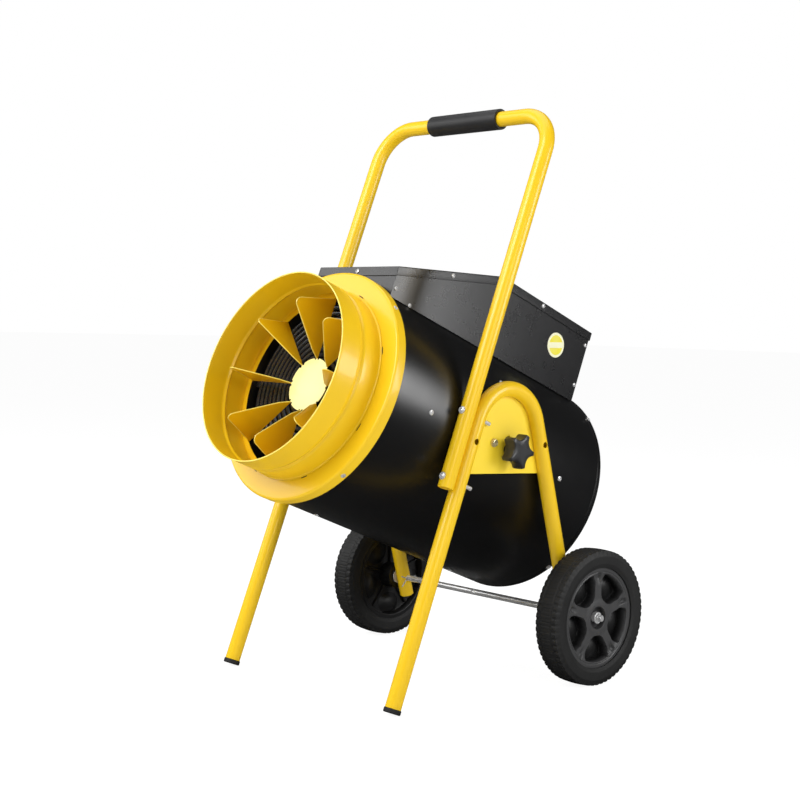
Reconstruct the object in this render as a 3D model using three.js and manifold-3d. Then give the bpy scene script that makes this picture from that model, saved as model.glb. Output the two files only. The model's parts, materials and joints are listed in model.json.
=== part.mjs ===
// Portable electric fan heater on a two-wheeled trolley. Millimetres, +Z up.
// The outlet faces -Y, the left side of the machine is +X, and the machine stands on Z = 0.

import * as THREE from 'three';
import { mergeVertices } from 'three/addons/utils/BufferGeometryUtils.js';
import Module from 'manifold-3d';

const wasm = await Module();
wasm.setup();

// ---------------------------------------------------------------- driving sizes

// Clearances
const GAP = 0.3; // between pieces that touch
const HOLE_PLAY = 0.3; // radial play of a bolt or shaft in its hole
const OVERCUT = 5; // a cutter's reach past the face it opens
const SINK = 1; // pieces of one part reach into each other by this much

// Trolley tubes
const TUBE_OD = 23;
const TUBE_WALL = 1.5;
const DRUM_SIDE_GAP = 2; // between the drum and each side frame
const LEG_LEAN = 20.9; // degrees, front leg from the vertical
const REAR_LEAN = 16.2; // degrees, rear leg from the vertical
const FOOT_REACH = 365; // from the axle to where the front leg's line meets the floor
const ARCH_RADIUS = 65.5;
const REAR_TAIL = 31; // rear leg below the axle
const SIDE_HOLE_D = 9;
const FRONT_SIDE_HOLE = 399; // up the front leg
const REAR_SIDE_HOLE = 271; // up the rear leg from the axle

// Foot caps
const CAP_D = 25;
const CAP_BASE = 7;
const CAP_PLUG = 16;
const SOLE_TRIM = 1.6; // flat worn into the cap's low edge

// Push handle
const HANDLE_TUBE_GAP = 0.6; // between handle tube and leg
const HANDLE_LOW_END = 322; // up the leg
const HANDLE_TOP = 907; // up the leg, to the crossbar's centre
const HANDLE_BEND = 60;
const GRIP_D = 32;
const GRIP_LENGTH = 150;
const GRIP_SHIFT = -1; // the sleeve sits a little to the right
const BOLT_D = 6;
const BOLT_HEAD_D = 11;
const BOLT_HEAD_H = 4;
const BOLT_TAIL = 14; // thread past the leg
const BOLT_LOW = 336; // up the leg
const BOLT_HIGH = 434;

// Wheels and axle
const WHEEL_D = 206;
const TYRE_WIDTH = 43;
const TYRE_BORE = 152;
const TYRE_SHOULDER = 3;
const WHEEL_GAP = 12; // between rear leg and tyre
const RIM_INSET = 2; // rim edge inside the tyre's faces
const RIM_BAND = 9;
const HUB_D = 50;
const BARREL_D = 42;
const HUB_RECESS_D = 34;
const HUB_RECESS_DEPTH = 8;
const WEB_DEPTH = 22; // pocket floor under the wheel's outer face
const WEB_THICKNESS = 4;
const SPOKE_COUNT = 5;
const SPOKE_WIDTH = 13;
const AXLE_D = 10;
const AXLE_PROUD = 2.5; // past the wheel's outer face
const WASHER_D = 24;
const WASHER_T = 2;
const NUT_ACROSS = 17;
const NUT_H = 8;
const PIN_D = 3.2;
const PIN_LEG_D = 1.8;
const PIN_INSET = 4; // inside the rear leg

// Side plates
const PLATE_T = 3;
const PLATE_INSET = 4; // outer face inside the tube's centre line
const PLATE_DROP = 45; // lower edge below the pivot

// Tilt pivot
const PIVOT_BEHIND_FOOT = 193; // from the foot line's floor point, towards the axle
const PIVOT_HEIGHT = 368.8;
const TILT = 21.1; // degrees, outlet up
const TILT_UP_MORE = 1.5;
const TILT_DOWN = 30;
const PIVOT_BOLT_D = 8;
const PIVOT_HEAD_D = 13;
const PIVOT_HEAD_H = 5;
const LOCK_OFFSET = 32; // star knob behind the pivot
const STUD_D = 8;
const PAD_MARGIN = 12;
const STUD_INSIDE = 16; // thread inside the drum wall
const KNOB_MEAN_R = 21.5;
const KNOB_LOBE = 4.5;
const KNOB_LOBES = 5;
const KNOB_T = 20;
const KNOB_NECK_D = 18;
const KNOB_NECK = 10;

// Drum. Lengths along its axis are measured from the pivot, outlet positive.
const SHEET = 1.2;
const DRUM_D = 341;
const DRUM_BACK = -258;
const COVER_BACK = -270;
const COVER_SPIGOT = 12;
const COVER_CORNER = 5;
const INLET_D = 276;
const INLET_LIP = 12;
const GUARD_T = 2.5;
const GUARD_HUB_D = 52;
const GUARD_RINGS = 5;
const GUARD_SECTORS = 6;
const GUARD_WIRE = 3;

// Flange, collar and guide vanes
const FLANGE_FACE = 217.5;
const FLANGE_SKIRT = 17;
const FLANGE_OVERHANG = 5; // past the drum, all round
const FLANGE_CORNER = 4;
const COLLAR_D = 288;
const COLLAR_LENGTH = 75.5;
const COLLAR_MOUTH_D = 286;
const COLLAR_FOOT = 4;
const COLLAR_BEAD_AT = 34; // from the flange face
const COLLAR_BEAD = 2.2;
const WINDOW_D = 268;
const VANE_RING_INSET = 12.5; // inside the drum's outer face
const VANE_HUB_D = 81;
const VANE_COUNT = 8;
const VANE_DEPTH = 71;
const VANE_TIP_R = 106;
const VANE_ROOT_DEPTH = 15;
const VANE_ROOT_R = 50;
const VANE_CORNER = 8;

// Heating elements: one flat spiral cut into three lengths, with two legs each
const COIL_PLANE = 203;
const COIL_D = 7.4;
const COIL_OUTER_R = 126;
const COIL_PITCH = 9.3;
const COIL_STEPS = 24; // per turn
const LEG_BACK = 24; // legs behind the coil plane
const LEG_TOP = 9; // legs above the drum
const LEG_BEND = 6;
const LEG_XS = [[52, 32], [16, -12], [-27, -38]]; // where the legs of each element rise

const SUPPORT_T = 2;
const SUPPORT_ARM = 10;
const SUPPORT_HUB_D = 44;
const SUPPORT_TAB = 14;

// Heat shield
const LINER_SPACE = 26.1; // between the heat shield and the drum
const LINER_FRONT = 211.5;
const LINER_BACK = 90;
const STANDOFF_D = 14;
const STANDOFF_AT = 127;
const CUTOUT_D = 20;
const CUTOUT_H = 12;
const CUTOUT_AT = 108;
const CUTOUT_ANGLE = 52;

// Fan and motor
const MOTOR_D = 90;
const MOTOR_FRONT = -166;
const MOTOR_BACK = -242;
const BRACKET_AT = -171;
const BRACKET_T = 2.5;
const BRACKET_ARM = 16;
const BRACKET_RING = 8;
const BRACKET_TAB = 18;
const SHAFT_D = 8;
const SHAFT_OUT = 44;
const SHAFT_IN = 20;
const FAN_D = 318;
const FAN_HUB_D = 70;
const FAN_HUB_T = 26;
const FAN_GAP = 6; // hub to motor
const BLADE_COUNT = 6;
const BLADE_CHORD = 72;
const BLADE_PITCH = 24; // degrees
const BLADE_T = 1.6;

// Control box
const BOX_WIDTH = 176;
const BOX_FRONT = 193.5;
const BOX_FRONT_H = 194.5;
const BOX_BEND = -14;
const BOX_TOP_H = 268.5;
const BOX_BACK = -245;
const LID_LIP = 14;
const PANEL_T = 1.5;
const KNOB_DROP = 52; // control knobs below the box's top
const KNOB_SPREAD = 40;
const DIAL_D = 36;
const DIAL_H = 16;
const DIAL_SPINDLE_D = 6;
const SWITCH_SIZE = 34;
const SWITCH_DEPTH = 26;
const LAMP_D = 12;
const LAMP_DROP = 26;
const GLAND_RISE = 19.5; // above the drum
const GLAND_D = 24;
const GLAND_THREAD_D = 16;
const GLAND_BORE_D = 9;
const GLAND_NUT = 12;
const GLAND_DOME = 8;
const GLAND_THREAD = 10; // inside the panel
const LAMP_LENS = 3;
const LAMP_BODY = 12;
const RIB_WIDTH = 4;
const CONTACTOR = { width: 56, length: 62, height: 52, at: -60 };

// Facets
const ROUND = 32; // large turned pieces
const WHEEL_ROUND = 30;
const SMALL_ROUND = 10;
const TUBE_SIDES = 10;
const BEND_STEPS = 6;
const BORE_SIDES = 8; // inside of the tubes

// ---------------------------------------------------------------- worked-out sizes

const rad = THREE.MathUtils.degToRad;
const tubeR = TUBE_OD / 2;
const wheelR = WHEEL_D / 2;
const drumR = DRUM_D / 2;
const frameX = drumR + DRUM_SIDE_GAP + tubeR;
const wheelInner = frameX + tubeR + WHEEL_GAP;
const wheelOuter = wheelInner + TYRE_WIDTH;
const axleEnd = wheelOuter + AXLE_PROUD;
const plateOuter = frameX - PLATE_INSET;
const drumInnerR = drumR - SHEET;
const linerOuter = drumInnerR - LINER_SPACE;
const linerInner = linerOuter - SHEET;
const flangeBack = FLANGE_FACE - SHEET;
const drumFront = flangeBack - GAP;
const vaneFront = flangeBack - GAP;
const vaneBack = vaneFront - SHEET;
const vaneRingR = drumR - VANE_RING_INSET;
const plateInner = plateOuter - PLATE_T;
const boxHalf = BOX_WIDTH / 2;
const knobHeight = BOX_TOP_H - KNOB_DROP;
const lampHeight = BOX_TOP_H - LAMP_DROP;
const glandHeight = drumR + GLAND_RISE;
const pivot = { y: PIVOT_BEHIND_FOOT - FOOT_REACH, z: PIVOT_HEIGHT };

// Side view: points and directions in the (y, z) plane, as THREE.Vector2
const footPoint = new THREE.Vector2(-FOOT_REACH, 0);
const axlePoint = new THREE.Vector2(0, wheelR);
const legUp = new THREE.Vector2(Math.sin(rad(LEG_LEAN)), Math.cos(rad(LEG_LEAN)));
const legFront = new THREE.Vector2(-legUp.y, legUp.x);
const rearUp = new THREE.Vector2(-Math.sin(rad(REAR_LEAN)), Math.cos(rad(REAR_LEAN)));
const handleOffset = TUBE_OD + HANDLE_TUBE_GAP;

function along(start, direction, distance) {
  return start.clone().addScaledVector(direction, distance);
}

function crossing(pointA, directionA, pointB, directionB) {
  const offset = pointB.clone().sub(pointA);
  const distance = offset.cross(directionB) / directionA.cross(directionB);
  return along(pointA, directionA, distance);
}

const archApex = crossing(footPoint, legUp, axlePoint, rearUp);
const soleCentre = along(footPoint, legUp, ((CAP_D / 2) * legUp.x - SOLE_TRIM) / legUp.y);

// ---------------------------------------------------------------- solids

// A faceted hole that stays clear of a round bar of the given diameter
function holeAround(diameter, sides = SMALL_ROUND) {
  return (diameter + 2 * GAP) / Math.cos(Math.PI / sides);
}

function arcSteps(turn) {
  return Math.max(3, Math.round((BEND_STEPS * turn * 1.6) / Math.PI));
}

function withoutRepeats(index) {
  const kept = [];
  for (let i = 0; i < index.length; i += 3) {
    const [a, b, c] = [index[i], index[i + 1], index[i + 2]];
    if (a !== b && b !== c && c !== a) kept.push(a, b, c);
  }
  return kept;
}

function signedVolume(points, index) {
  const [a, b, c] = [new THREE.Vector3(), new THREE.Vector3(), new THREE.Vector3()];
  let sum = 0;
  for (let i = 0; i < index.length; i += 3) {
    a.fromArray(points, index[i] * 3);
    b.fromArray(points, index[i + 1] * 3);
    c.fromArray(points, index[i + 2] * 3);
    sum += a.dot(b.cross(c));
  }
  return sum / 6;
}

// A closed geometry as a solid that can be joined and cut
function solid(geometry) {
  const bare = geometry.clone();
  bare.deleteAttribute('normal');
  bare.deleteAttribute('uv');
  const merged = mergeVertices(bare, 1e-4);
  const points = merged.attributes.position.array;
  const index = withoutRepeats(merged.index.array);
  if (signedVolume(points, index) < 0) index.reverse();
  const mesh = new wasm.Mesh({
    numProp: 3,
    vertProperties: Float32Array.from(points),
    triVerts: Uint32Array.from(index),
  });
  return new wasm.Manifold(mesh);
}

function geometryOf(body) {
  const mesh = body.getMesh();
  const geometry = new THREE.BufferGeometry();
  geometry.setAttribute('position', new THREE.BufferAttribute(Float32Array.from(mesh.vertProperties), 3));
  geometry.setIndex(Array.from(mesh.triVerts));
  geometry.computeVertexNormals();
  return geometry;
}

function join(first, ...others) {
  return others.reduce((whole, piece) => whole.add(piece), first);
}

function cut(first, ...tools) {
  return tools.reduce((whole, tool) => whole.subtract(tool), first);
}

function box([x0, x1], [y0, y1], [z0, z1]) {
  const geometry = new THREE.BoxGeometry(x1 - x0, y1 - y0, z1 - z0);
  geometry.translate((x0 + x1) / 2, (y0 + y1) / 2, (z0 + z1) / 2);
  return solid(geometry);
}

// A round bar between two points
function rod(from, to, diameter, sides = SMALL_ROUND) {
  const direction = to.clone().sub(from);
  const geometry = new THREE.CylinderGeometry(diameter / 2, diameter / 2, direction.length(), sides);
  const turn = new THREE.Quaternion().setFromUnitVectors(
    new THREE.Vector3(0, 1, 0), direction.clone().normalize());
  geometry.applyQuaternion(turn);
  geometry.translate(...from.clone().add(to).multiplyScalar(0.5).toArray());
  return solid(geometry);
}

function rodX(x0, x1, y, z, diameter, sides) {
  return rod(new THREE.Vector3(x0, y, z), new THREE.Vector3(x1, y, z), diameter, sides);
}

// Profile points are [radius, distance along the axis]; the axis is Y
function turned(profile, segments = ROUND) {
  const points = profile.map(([radius, distance]) => new THREE.Vector2(radius, distance));
  return solid(new THREE.LatheGeometry(points, segments));
}

// The same, about X
function turnedX(profile, segments = ROUND) {
  const points = profile.map(([radius, distance]) => new THREE.Vector2(radius, distance));
  const geometry = new THREE.LatheGeometry(points, segments);
  geometry.rotateZ(-Math.PI / 2);
  return solid(geometry);
}

// A closed profile of sheet metal: the line's points, then the same line moved by the thickness
function sheetProfile(line, thickness) {
  const points = line.map(([radius, distance]) => new THREE.Vector2(radius, distance));
  const shifted = points.map((point, i) => {
    const before = points[Math.max(i - 1, 0)];
    const after = points[Math.min(i + 1, points.length - 1)];
    const inDirection = point.clone().sub(before);
    const outDirection = after.clone().sub(point);
    if (inDirection.lengthSq() === 0) inDirection.copy(outDirection);
    if (outDirection.lengthSq() === 0) outDirection.copy(inDirection);
    const middle = inDirection.normalize().add(outDirection.normalize()).normalize();
    const reach = thickness / middle.dot(inDirection);
    return [point.x - middle.y * reach, point.y + middle.x * reach];
  });
  const loop = [...line, ...shifted.reverse()];
  return [...loop, loop[0]];
}

// Axis distances of the heater run to the outlet, its local Y away from it
function drumProfile(profile) {
  return profile.map(([radius, distance]) => [radius, -distance]);
}

function drumPlug(radius, back, front, segments = ROUND) {
  return turned(drumProfile([[0, back], [radius, back], [radius, front], [0, front]]), segments);
}

// An outline in the (y, z) plane, pushed along X
function slabX(outline, x0, x1, holes = []) {
  const shape = outline instanceof THREE.Shape ? outline : new THREE.Shape(outline);
  shape.holes.push(...holes);
  const geometry = new THREE.ExtrudeGeometry(shape, {
    depth: x1 - x0, bevelEnabled: false, curveSegments: SMALL_ROUND,
  });
  const turn = new THREE.Matrix4().makeBasis(
    new THREE.Vector3(0, 1, 0), new THREE.Vector3(0, 0, 1), new THREE.Vector3(1, 0, 0));
  geometry.applyMatrix4(turn);
  geometry.translate(x0, 0, 0);
  return solid(geometry);
}

// A line through corner points, with an arc at each corner that turns by more than 25 degrees
class BentLine extends THREE.Curve {
  constructor(corners, bendRadius) {
    super();
    this.stations = [];
    corners.forEach((corner, i) => {
      const before = corners[i - 1];
      const after = corners[i + 1];
      if (!before || !after) {
        const direction = after ? after.clone().sub(corner) : corner.clone().sub(before);
        this.stations.push({ point: corner.clone(), direction: direction.normalize() });
        return;
      }
      const arriving = corner.clone().sub(before).normalize();
      const leaving = after.clone().sub(corner).normalize();
      const turn = arriving.angleTo(leaving);
      if (turn < rad(25)) {
        this.stations.push({ point: corner.clone(), direction: arriving.add(leaving).normalize() });
        return;
      }
      this.addArc(corner, arriving, leaving, turn, bendRadius);
    });
  }

  addArc(corner, arriving, leaving, turn, bendRadius) {
    const start = corner.clone().addScaledVector(arriving, -bendRadius * Math.tan(turn / 2));
    const inward = leaving.clone().addScaledVector(arriving, -leaving.dot(arriving)).normalize();
    const steps = bendRadius > TUBE_OD ? arcSteps(turn) : 3;
    for (let k = 0; k <= steps; k += 1) {
      const angle = (turn * k) / steps;
      const point = start.clone()
        .addScaledVector(arriving, bendRadius * Math.sin(angle))
        .addScaledVector(inward, bendRadius * (1 - Math.cos(angle)));
      const direction = arriving.clone().multiplyScalar(Math.cos(angle))
        .addScaledVector(inward, Math.sin(angle));
      this.stations.push({ point, direction });
    }
  }

  at(t, key) {
    const place = t * (this.stations.length - 1);
    const i = Math.min(Math.floor(place), this.stations.length - 2);
    return this.stations[i][key].clone().lerp(this.stations[i + 1][key], place - i);
  }

  getPoint(t) {
    return this.at(t, 'point');
  }

  getPointAt(t) {
    return this.at(t, 'point');
  }

  getTangent(t) {
    return this.at(t, 'direction').normalize();
  }

  getTangentAt(t) {
    return this.getTangent(t);
  }
}

function circleShape(radius, sides) {
  const corners = [];
  for (let k = 0; k < sides; k += 1) {
    const angle = (2 * Math.PI * k) / sides;
    corners.push(new THREE.Vector2(radius * Math.cos(angle), radius * Math.sin(angle)));
  }
  return corners;
}

// A bar or tube along a bent line
function bentBar(line, diameter, sides, wall = 0) {
  const shape = new THREE.Shape(circleShape(diameter / 2, sides));
  if (wall > 0) shape.holes.push(new THREE.Path(circleShape(diameter / 2 - wall, BORE_SIDES)));
  return solid(new THREE.ExtrudeGeometry(shape, {
    steps: line.stations.length - 1, extrudePath: line,
  }));
}

// ---------------------------------------------------------------- finishes

function finish(color, roughness, metalness) {
  return new THREE.MeshStandardMaterial({ color, roughness, metalness });
}

const yellowPaint = finish(0xf6c60e, 0.35, 0);
const blackPaint = finish(0x17171a, 0.3, 0);
const blackRubber = finish(0x1b1b1d, 0.75, 0);
const blackPlastic = finish(0x222225, 0.55, 0);
const zincSteel = finish(0xc3c6c9, 0.3, 0.9);
const galvanised = finish(0xa6abae, 0.45, 0.8);
const elementSteel = finish(0x2a2a2c, 0.6, 0.4);
const redLens = finish(0xb3191b, 0.2, 0);
const greyCasting = finish(0x5b5e61, 0.5, 0.3);
const creamPlastic = finish(0xd9d3c0, 0.6, 0);

const machine = new THREE.Group();

// The heater turns about the pivot: its local -Y is the outlet's way, its local Z the box's
const heater = new THREE.Group();
heater.position.set(0, pivot.y, pivot.z);
heater.rotation.x = -rad(TILT);
machine.add(heater);

function place(name, body, material, parent = machine) {
  const mesh = new THREE.Mesh(geometryOf(body), material);
  mesh.name = name;
  parent.add(mesh);
}

const SIDES = [['left', 1], ['right', -1]];

function inSideView(point, x) {
  return new THREE.Vector3(x, point.x, point.y);
}

// ---------------------------------------------------------------- side frames

function handleBoltLine(distance, x) {
  const onLeg = along(footPoint, legUp, distance);
  return {
    front: inSideView(along(onLeg, legFront, handleOffset + tubeR + GAP), x),
    back: inSideView(along(onLeg, legFront, -tubeR - BOLT_TAIL), x),
    outward: inSideView(legFront, 0),
  };
}

function boltHole(distance, x) {
  const { front, back } = handleBoltLine(distance, x);
  return rod(front, back, BOLT_D + 2 * HOLE_PLAY, TUBE_SIDES);
}

function sideFrame(x) {
  const legEnd = along(soleCentre, legUp, CAP_BASE + GAP);
  const tailEnd = along(axlePoint, rearUp, -REAR_TAIL);
  const corners = [legEnd, archApex, tailEnd].map((point) => inSideView(point, x));
  const tube = bentBar(new BentLine(corners, ARCH_RADIUS), TUBE_OD, TUBE_SIDES, TUBE_WALL);
  const reach = [x - TUBE_OD, x + TUBE_OD];
  const sideHoles = [
    along(footPoint, legUp, FRONT_SIDE_HOLE),
    along(axlePoint, rearUp, REAR_SIDE_HOLE),
  ].map((point) => rodX(...reach, point.x, point.y, SIDE_HOLE_D, TUBE_SIDES));
  const axleHole = rodX(...reach, axlePoint.x, axlePoint.y, AXLE_D + 2 * HOLE_PLAY, TUBE_SIDES);
  return cut(tube, ...sideHoles, axleHole, boltHole(BOLT_LOW, x), boltHole(BOLT_HIGH, x));
}

for (const [side, sign] of SIDES) {
  place(`side_frame_${side}`, sideFrame(sign * frameX), yellowPaint);
}

// ---------------------------------------------------------------- foot caps

function footCap(x) {
  const sole = inSideView(along(soleCentre, legUp, 0), x);
  const shoulder = inSideView(along(soleCentre, legUp, CAP_BASE), x);
  const plugEnd = inSideView(along(soleCentre, legUp, CAP_BASE + CAP_PLUG), x);
  const plugD = (TUBE_OD - 2 * TUBE_WALL) * Math.cos(Math.PI / BORE_SIDES) - 2 * GAP;
  const floor = box([x - CAP_D, x + CAP_D], [-FOOT_REACH - CAP_D, -FOOT_REACH + CAP_D], [-CAP_D, 0]);
  return cut(join(rod(sole, shoulder, CAP_D), rod(sole, plugEnd, plugD, TUBE_SIDES)), floor);
}

for (const [side, sign] of SIDES) {
  place(`foot_cap_${side}`, footCap(sign * frameX), blackRubber);
}

// ---------------------------------------------------------------- side plates

function slotAngle(tiltDown) {
  return -rad(TILT) + rad(tiltDown);
}

// The lock stud's slot is an arc about the pivot
function lockSlot() {
  const halfWidth = STUD_D / 2 + HOLE_PLAY;
  const [low, high] = [slotAngle(-TILT_UP_MORE), slotAngle(TILT_DOWN)];
  const slot = new THREE.Path();
  const end = (angle) => [pivot.y + LOCK_OFFSET * Math.cos(angle), pivot.z + LOCK_OFFSET * Math.sin(angle)];
  slot.absarc(pivot.y, pivot.z, LOCK_OFFSET + halfWidth, low, high, false);
  slot.absarc(...end(high), halfWidth, high, high + Math.PI, false);
  slot.absarc(pivot.y, pivot.z, LOCK_OFFSET - halfWidth, high, low, true);
  slot.absarc(...end(low), halfWidth, low + Math.PI, low + 2 * Math.PI, false);
  return new THREE.Path(slot.getPoints(5));
}

function platePoints() {
  const chord = frameX - plateOuter;
  const inset = Math.sqrt(tubeR ** 2 - chord ** 2) + GAP;
  const frontLine = along(footPoint, legFront, -inset);
  const rearFront = new THREE.Vector2(rearUp.y, -rearUp.x);
  const rearLine = along(axlePoint, rearFront, -inset);
  const bisector = legUp.clone().add(rearUp).normalize();
  const lowMiddle = along(new THREE.Vector2(pivot.y, pivot.z), bisector, -PLATE_DROP);
  const lowEdge = new THREE.Vector2(bisector.y, -bisector.x);
  const lowFront = crossing(frontLine, legUp, lowMiddle, lowEdge);
  const lowRear = crossing(rearLine, rearUp, lowMiddle, lowEdge);
  const spread = legUp.angleTo(rearUp) / 2;
  const archCentre = along(archApex, bisector, -ARCH_RADIUS / Math.sin(spread));
  const radius = ARCH_RADIUS - inset;
  const points = [lowFront, lowRear];
  const turn = Math.PI - rad(REAR_LEAN + LEG_LEAN);
  const steps = arcSteps(turn);
  for (let k = 0; k <= steps; k += 1) {
    const angle = rad(REAR_LEAN) + (turn * k) / steps;
    points.push(new THREE.Vector2(
      archCentre.x + radius * Math.cos(angle), archCentre.y + radius * Math.sin(angle)));
  }
  return points;
}

function sidePlate(sign) {
  const pivotHole = new THREE.Path(circleShape(PIVOT_BOLT_D / 2 + HOLE_PLAY, SMALL_ROUND)
    .map((point) => point.add(new THREE.Vector2(pivot.y, pivot.z))));
  const [x0, x1] = sign > 0 ? [plateInner, plateOuter] : [-plateOuter, -plateInner];
  return slabX(platePoints(), x0, x1, [pivotHole, lockSlot()]);
}

for (const [side, sign] of SIDES) {
  place(`side_plate_${side}`, sidePlate(sign), yellowPaint);
}

// ---------------------------------------------------------------- push handle

function pushHandle() {
  const low = along(along(footPoint, legFront, handleOffset), legUp, HANDLE_LOW_END);
  const top = along(along(footPoint, legFront, handleOffset), legUp, HANDLE_TOP);
  const corners = [
    inSideView(low, frameX), inSideView(top, frameX), inSideView(top, -frameX), inSideView(low, -frameX),
  ];
  const tube = bentBar(new BentLine(corners, HANDLE_BEND), TUBE_OD, TUBE_SIDES, TUBE_WALL);
  const holes = [frameX, -frameX].flatMap((x) => [boltHole(BOLT_LOW, x), boltHole(BOLT_HIGH, x)]);
  return cut(tube, ...holes);
}

place('push_handle', pushHandle(), yellowPaint);

function handleGrip() {
  const centre = along(along(footPoint, legFront, handleOffset), legUp, HANDLE_TOP);
  const [x0, x1] = [GRIP_SHIFT - GRIP_LENGTH / 2, GRIP_SHIFT + GRIP_LENGTH / 2];
  const sleeve = rodX(x0, x1, centre.x, centre.y, GRIP_D, SMALL_ROUND);
  return cut(sleeve, rodX(x0 - 1, x1 + 1, centre.x, centre.y, holeAround(TUBE_OD)));
}

place('handle_grip', handleGrip(), blackRubber);

function handleBolt(distance, x) {
  const { front, back, outward } = handleBoltLine(distance, x);
  const headTop = front.clone().addScaledVector(outward, BOLT_HEAD_H);
  const inHead = front.clone().addScaledVector(outward, BOLT_HEAD_H / 2);
  return join(rod(front, headTop, BOLT_HEAD_D), rod(inHead, back, BOLT_D, TUBE_SIDES));
}

for (const [side, sign] of SIDES) {
  for (const [level, distance] of [['low', BOLT_LOW], ['high', BOLT_HIGH]]) {
    place(`handle_bolt_${level}_${side}`, handleBolt(distance, sign * frameX), zincSteel);
  }
}

// ---------------------------------------------------------------- axle and its fasteners

const pinX = frameX - tubeR - PIN_INSET;

function axle() {
  const bar = rodX(-axleEnd, axleEnd, axlePoint.x, axlePoint.y, AXLE_D);
  const pinHoles = [pinX, -pinX].map((x) => rod(
    new THREE.Vector3(x, -AXLE_D, wheelR), new THREE.Vector3(x, AXLE_D, wheelR),
    PIN_D + 2 * HOLE_PLAY, 8));
  return cut(bar, ...pinHoles);
}

place('axle', axle(), zincSteel);

// A split pin: eye behind the axle, legs splayed in front of it
function splitPin(x) {
  const point = (y, z) => new THREE.Vector3(x, y, wheelR + z);
  const shank = rod(point(9, 0), point(-8, 0), PIN_D, 8);
  const eye = new THREE.TorusGeometry(3.2, PIN_LEG_D / 2, 5, 8);
  eye.rotateY(Math.PI / 2);
  eye.translate(x, 11.6, wheelR);
  const upperLeg = rod(point(-7, 0.6), point(-19, 5), PIN_LEG_D, 6);
  const lowerLeg = rod(point(-7, -0.6), point(-18, -14), PIN_LEG_D, 6);
  return join(shank, solid(eye), upperLeg, lowerLeg);
}

function hubWasher(sign) {
  const start = sign * (frameX + tubeR + GAP);
  const end = start + sign * WASHER_T;
  const disc = rodX(start, end, 0, wheelR, WASHER_D);
  return cut(disc, rodX(start - sign, end + sign, 0, wheelR, AXLE_D + 2 * HOLE_PLAY));
}

const hubInner = frameX + tubeR + WASHER_T + 2 * GAP;
const hubFace = wheelOuter - RIM_INSET - 3.5;
const recessFloor = hubFace - HUB_RECESS_DEPTH;

function axleNut(sign) {
  const start = sign * (recessFloor + GAP);
  const end = start + sign * NUT_H;
  const hexagon = rodX(start, end, 0, wheelR, NUT_ACROSS / Math.cos(Math.PI / 6), 6);
  return cut(hexagon, rodX(start - sign, end + sign, 0, wheelR, AXLE_D + 2 * GAP));
}

for (const [side, sign] of SIDES) {
  place(`split_pin_${side}`, splitPin(sign * pinX), zincSteel);
  place(`hub_washer_${side}`, hubWasher(sign), zincSteel);
  place(`axle_nut_${side}`, axleNut(sign), zincSteel);
}

// ---------------------------------------------------------------- wheels

// Distances are along X, from the middle plane; the wheel is turned about X at the origin
function tyre() {
  const [inner, outer] = [wheelInner, wheelOuter];
  const crown = 0.6;
  return turnedX([
    [TYRE_BORE / 2, inner + 1], [wheelR - TYRE_SHOULDER, inner], [wheelR - crown, inner + TYRE_SHOULDER],
    [wheelR, (inner + outer) / 2], [wheelR - crown, outer - TYRE_SHOULDER],
    [wheelR - TYRE_SHOULDER, outer], [TYRE_BORE / 2, outer - 1], [TYRE_BORE / 2, inner + 1],
  ], WHEEL_ROUND);
}

function windowPocket(index) {
  const [rInner, rOuter] = [HUB_D / 2 + 3, TYRE_BORE / 2 - RIM_BAND];
  const step = (2 * Math.PI) / SPOKE_COUNT;
  const middle = rad(90) + step * (index + 0.5);
  const outline = [];
  for (const [radius, direction] of [[rOuter, 1], [rInner, -1]]) {
    const half = step / 2 - Math.asin(SPOKE_WIDTH / 2 / radius);
    for (let k = -2; k <= 2; k += 1) {
      const angle = middle + (direction * half * k) / 2;
      outline.push(new THREE.Vector2(radius * Math.cos(angle), radius * Math.sin(angle)));
    }
  }
  return slabX(outline, wheelOuter - WEB_DEPTH, wheelOuter + 1);
}

function wheelRim() {
  const edgeR = TYRE_BORE / 2 - GAP;
  const bandR = TYRE_BORE / 2 - RIM_BAND;
  const [inner, outer] = [wheelInner + RIM_INSET, wheelOuter - RIM_INSET];
  const webInner = wheelOuter - WEB_DEPTH - WEB_THICKNESS;
  const boreR = AXLE_D / 2 + HOLE_PLAY;
  const blank = turnedX([
    [boreR, hubInner], [BARREL_D / 2, hubInner], [BARREL_D / 2, webInner], [bandR, webInner],
    [bandR, inner], [edgeR, inner], [edgeR, outer], [bandR, outer - 1],
    [HUB_D / 2, hubFace], [HUB_RECESS_D / 2, hubFace], [HUB_RECESS_D / 2, recessFloor],
    [boreR, recessFloor], [boreR, hubInner],
  ], WHEEL_ROUND);
  const pockets = Array.from({ length: SPOKE_COUNT }, (_, index) => windowPocket(index));
  return cut(blank, ...pockets);
}

function placeOnAxle(name, body, sign, material) {
  const geometry = geometryOf(body);
  if (sign < 0) geometry.rotateZ(Math.PI);
  const mesh = new THREE.Mesh(geometry, material);
  mesh.name = name;
  mesh.position.set(0, axlePoint.x, axlePoint.y);
  machine.add(mesh);
}

for (const [side, sign] of SIDES) {
  placeOnAxle(`wheel_rim_${side}`, wheelRim(), sign, blackPlastic);
  placeOnAxle(`tyre_${side}`, tyre(), sign, blackRubber);
}

// ---------------------------------------------------------------- drum

const boxSkin = SHEET + GAP;
const wallHalf = boxHalf - boxSkin;

function elementLegHole(x, diameter) {
  const y = -(COIL_PLANE - LEG_BACK);
  return rod(new THREE.Vector3(x, y, 0), new THREE.Vector3(x, y, drumR + LEG_TOP + 4), diameter, 8);
}

const legHoles = LEG_XS.flat().map((x) => elementLegHole(x, COIL_D + 4 * HOLE_PLAY));

function sideHoles(diameterAtPivot, diameterAtLock) {
  return [
    rodX(-frameX, frameX, 0, 0, diameterAtPivot),
    rodX(-frameX, frameX, LOCK_OFFSET, 0, diameterAtLock),
  ];
}

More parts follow.
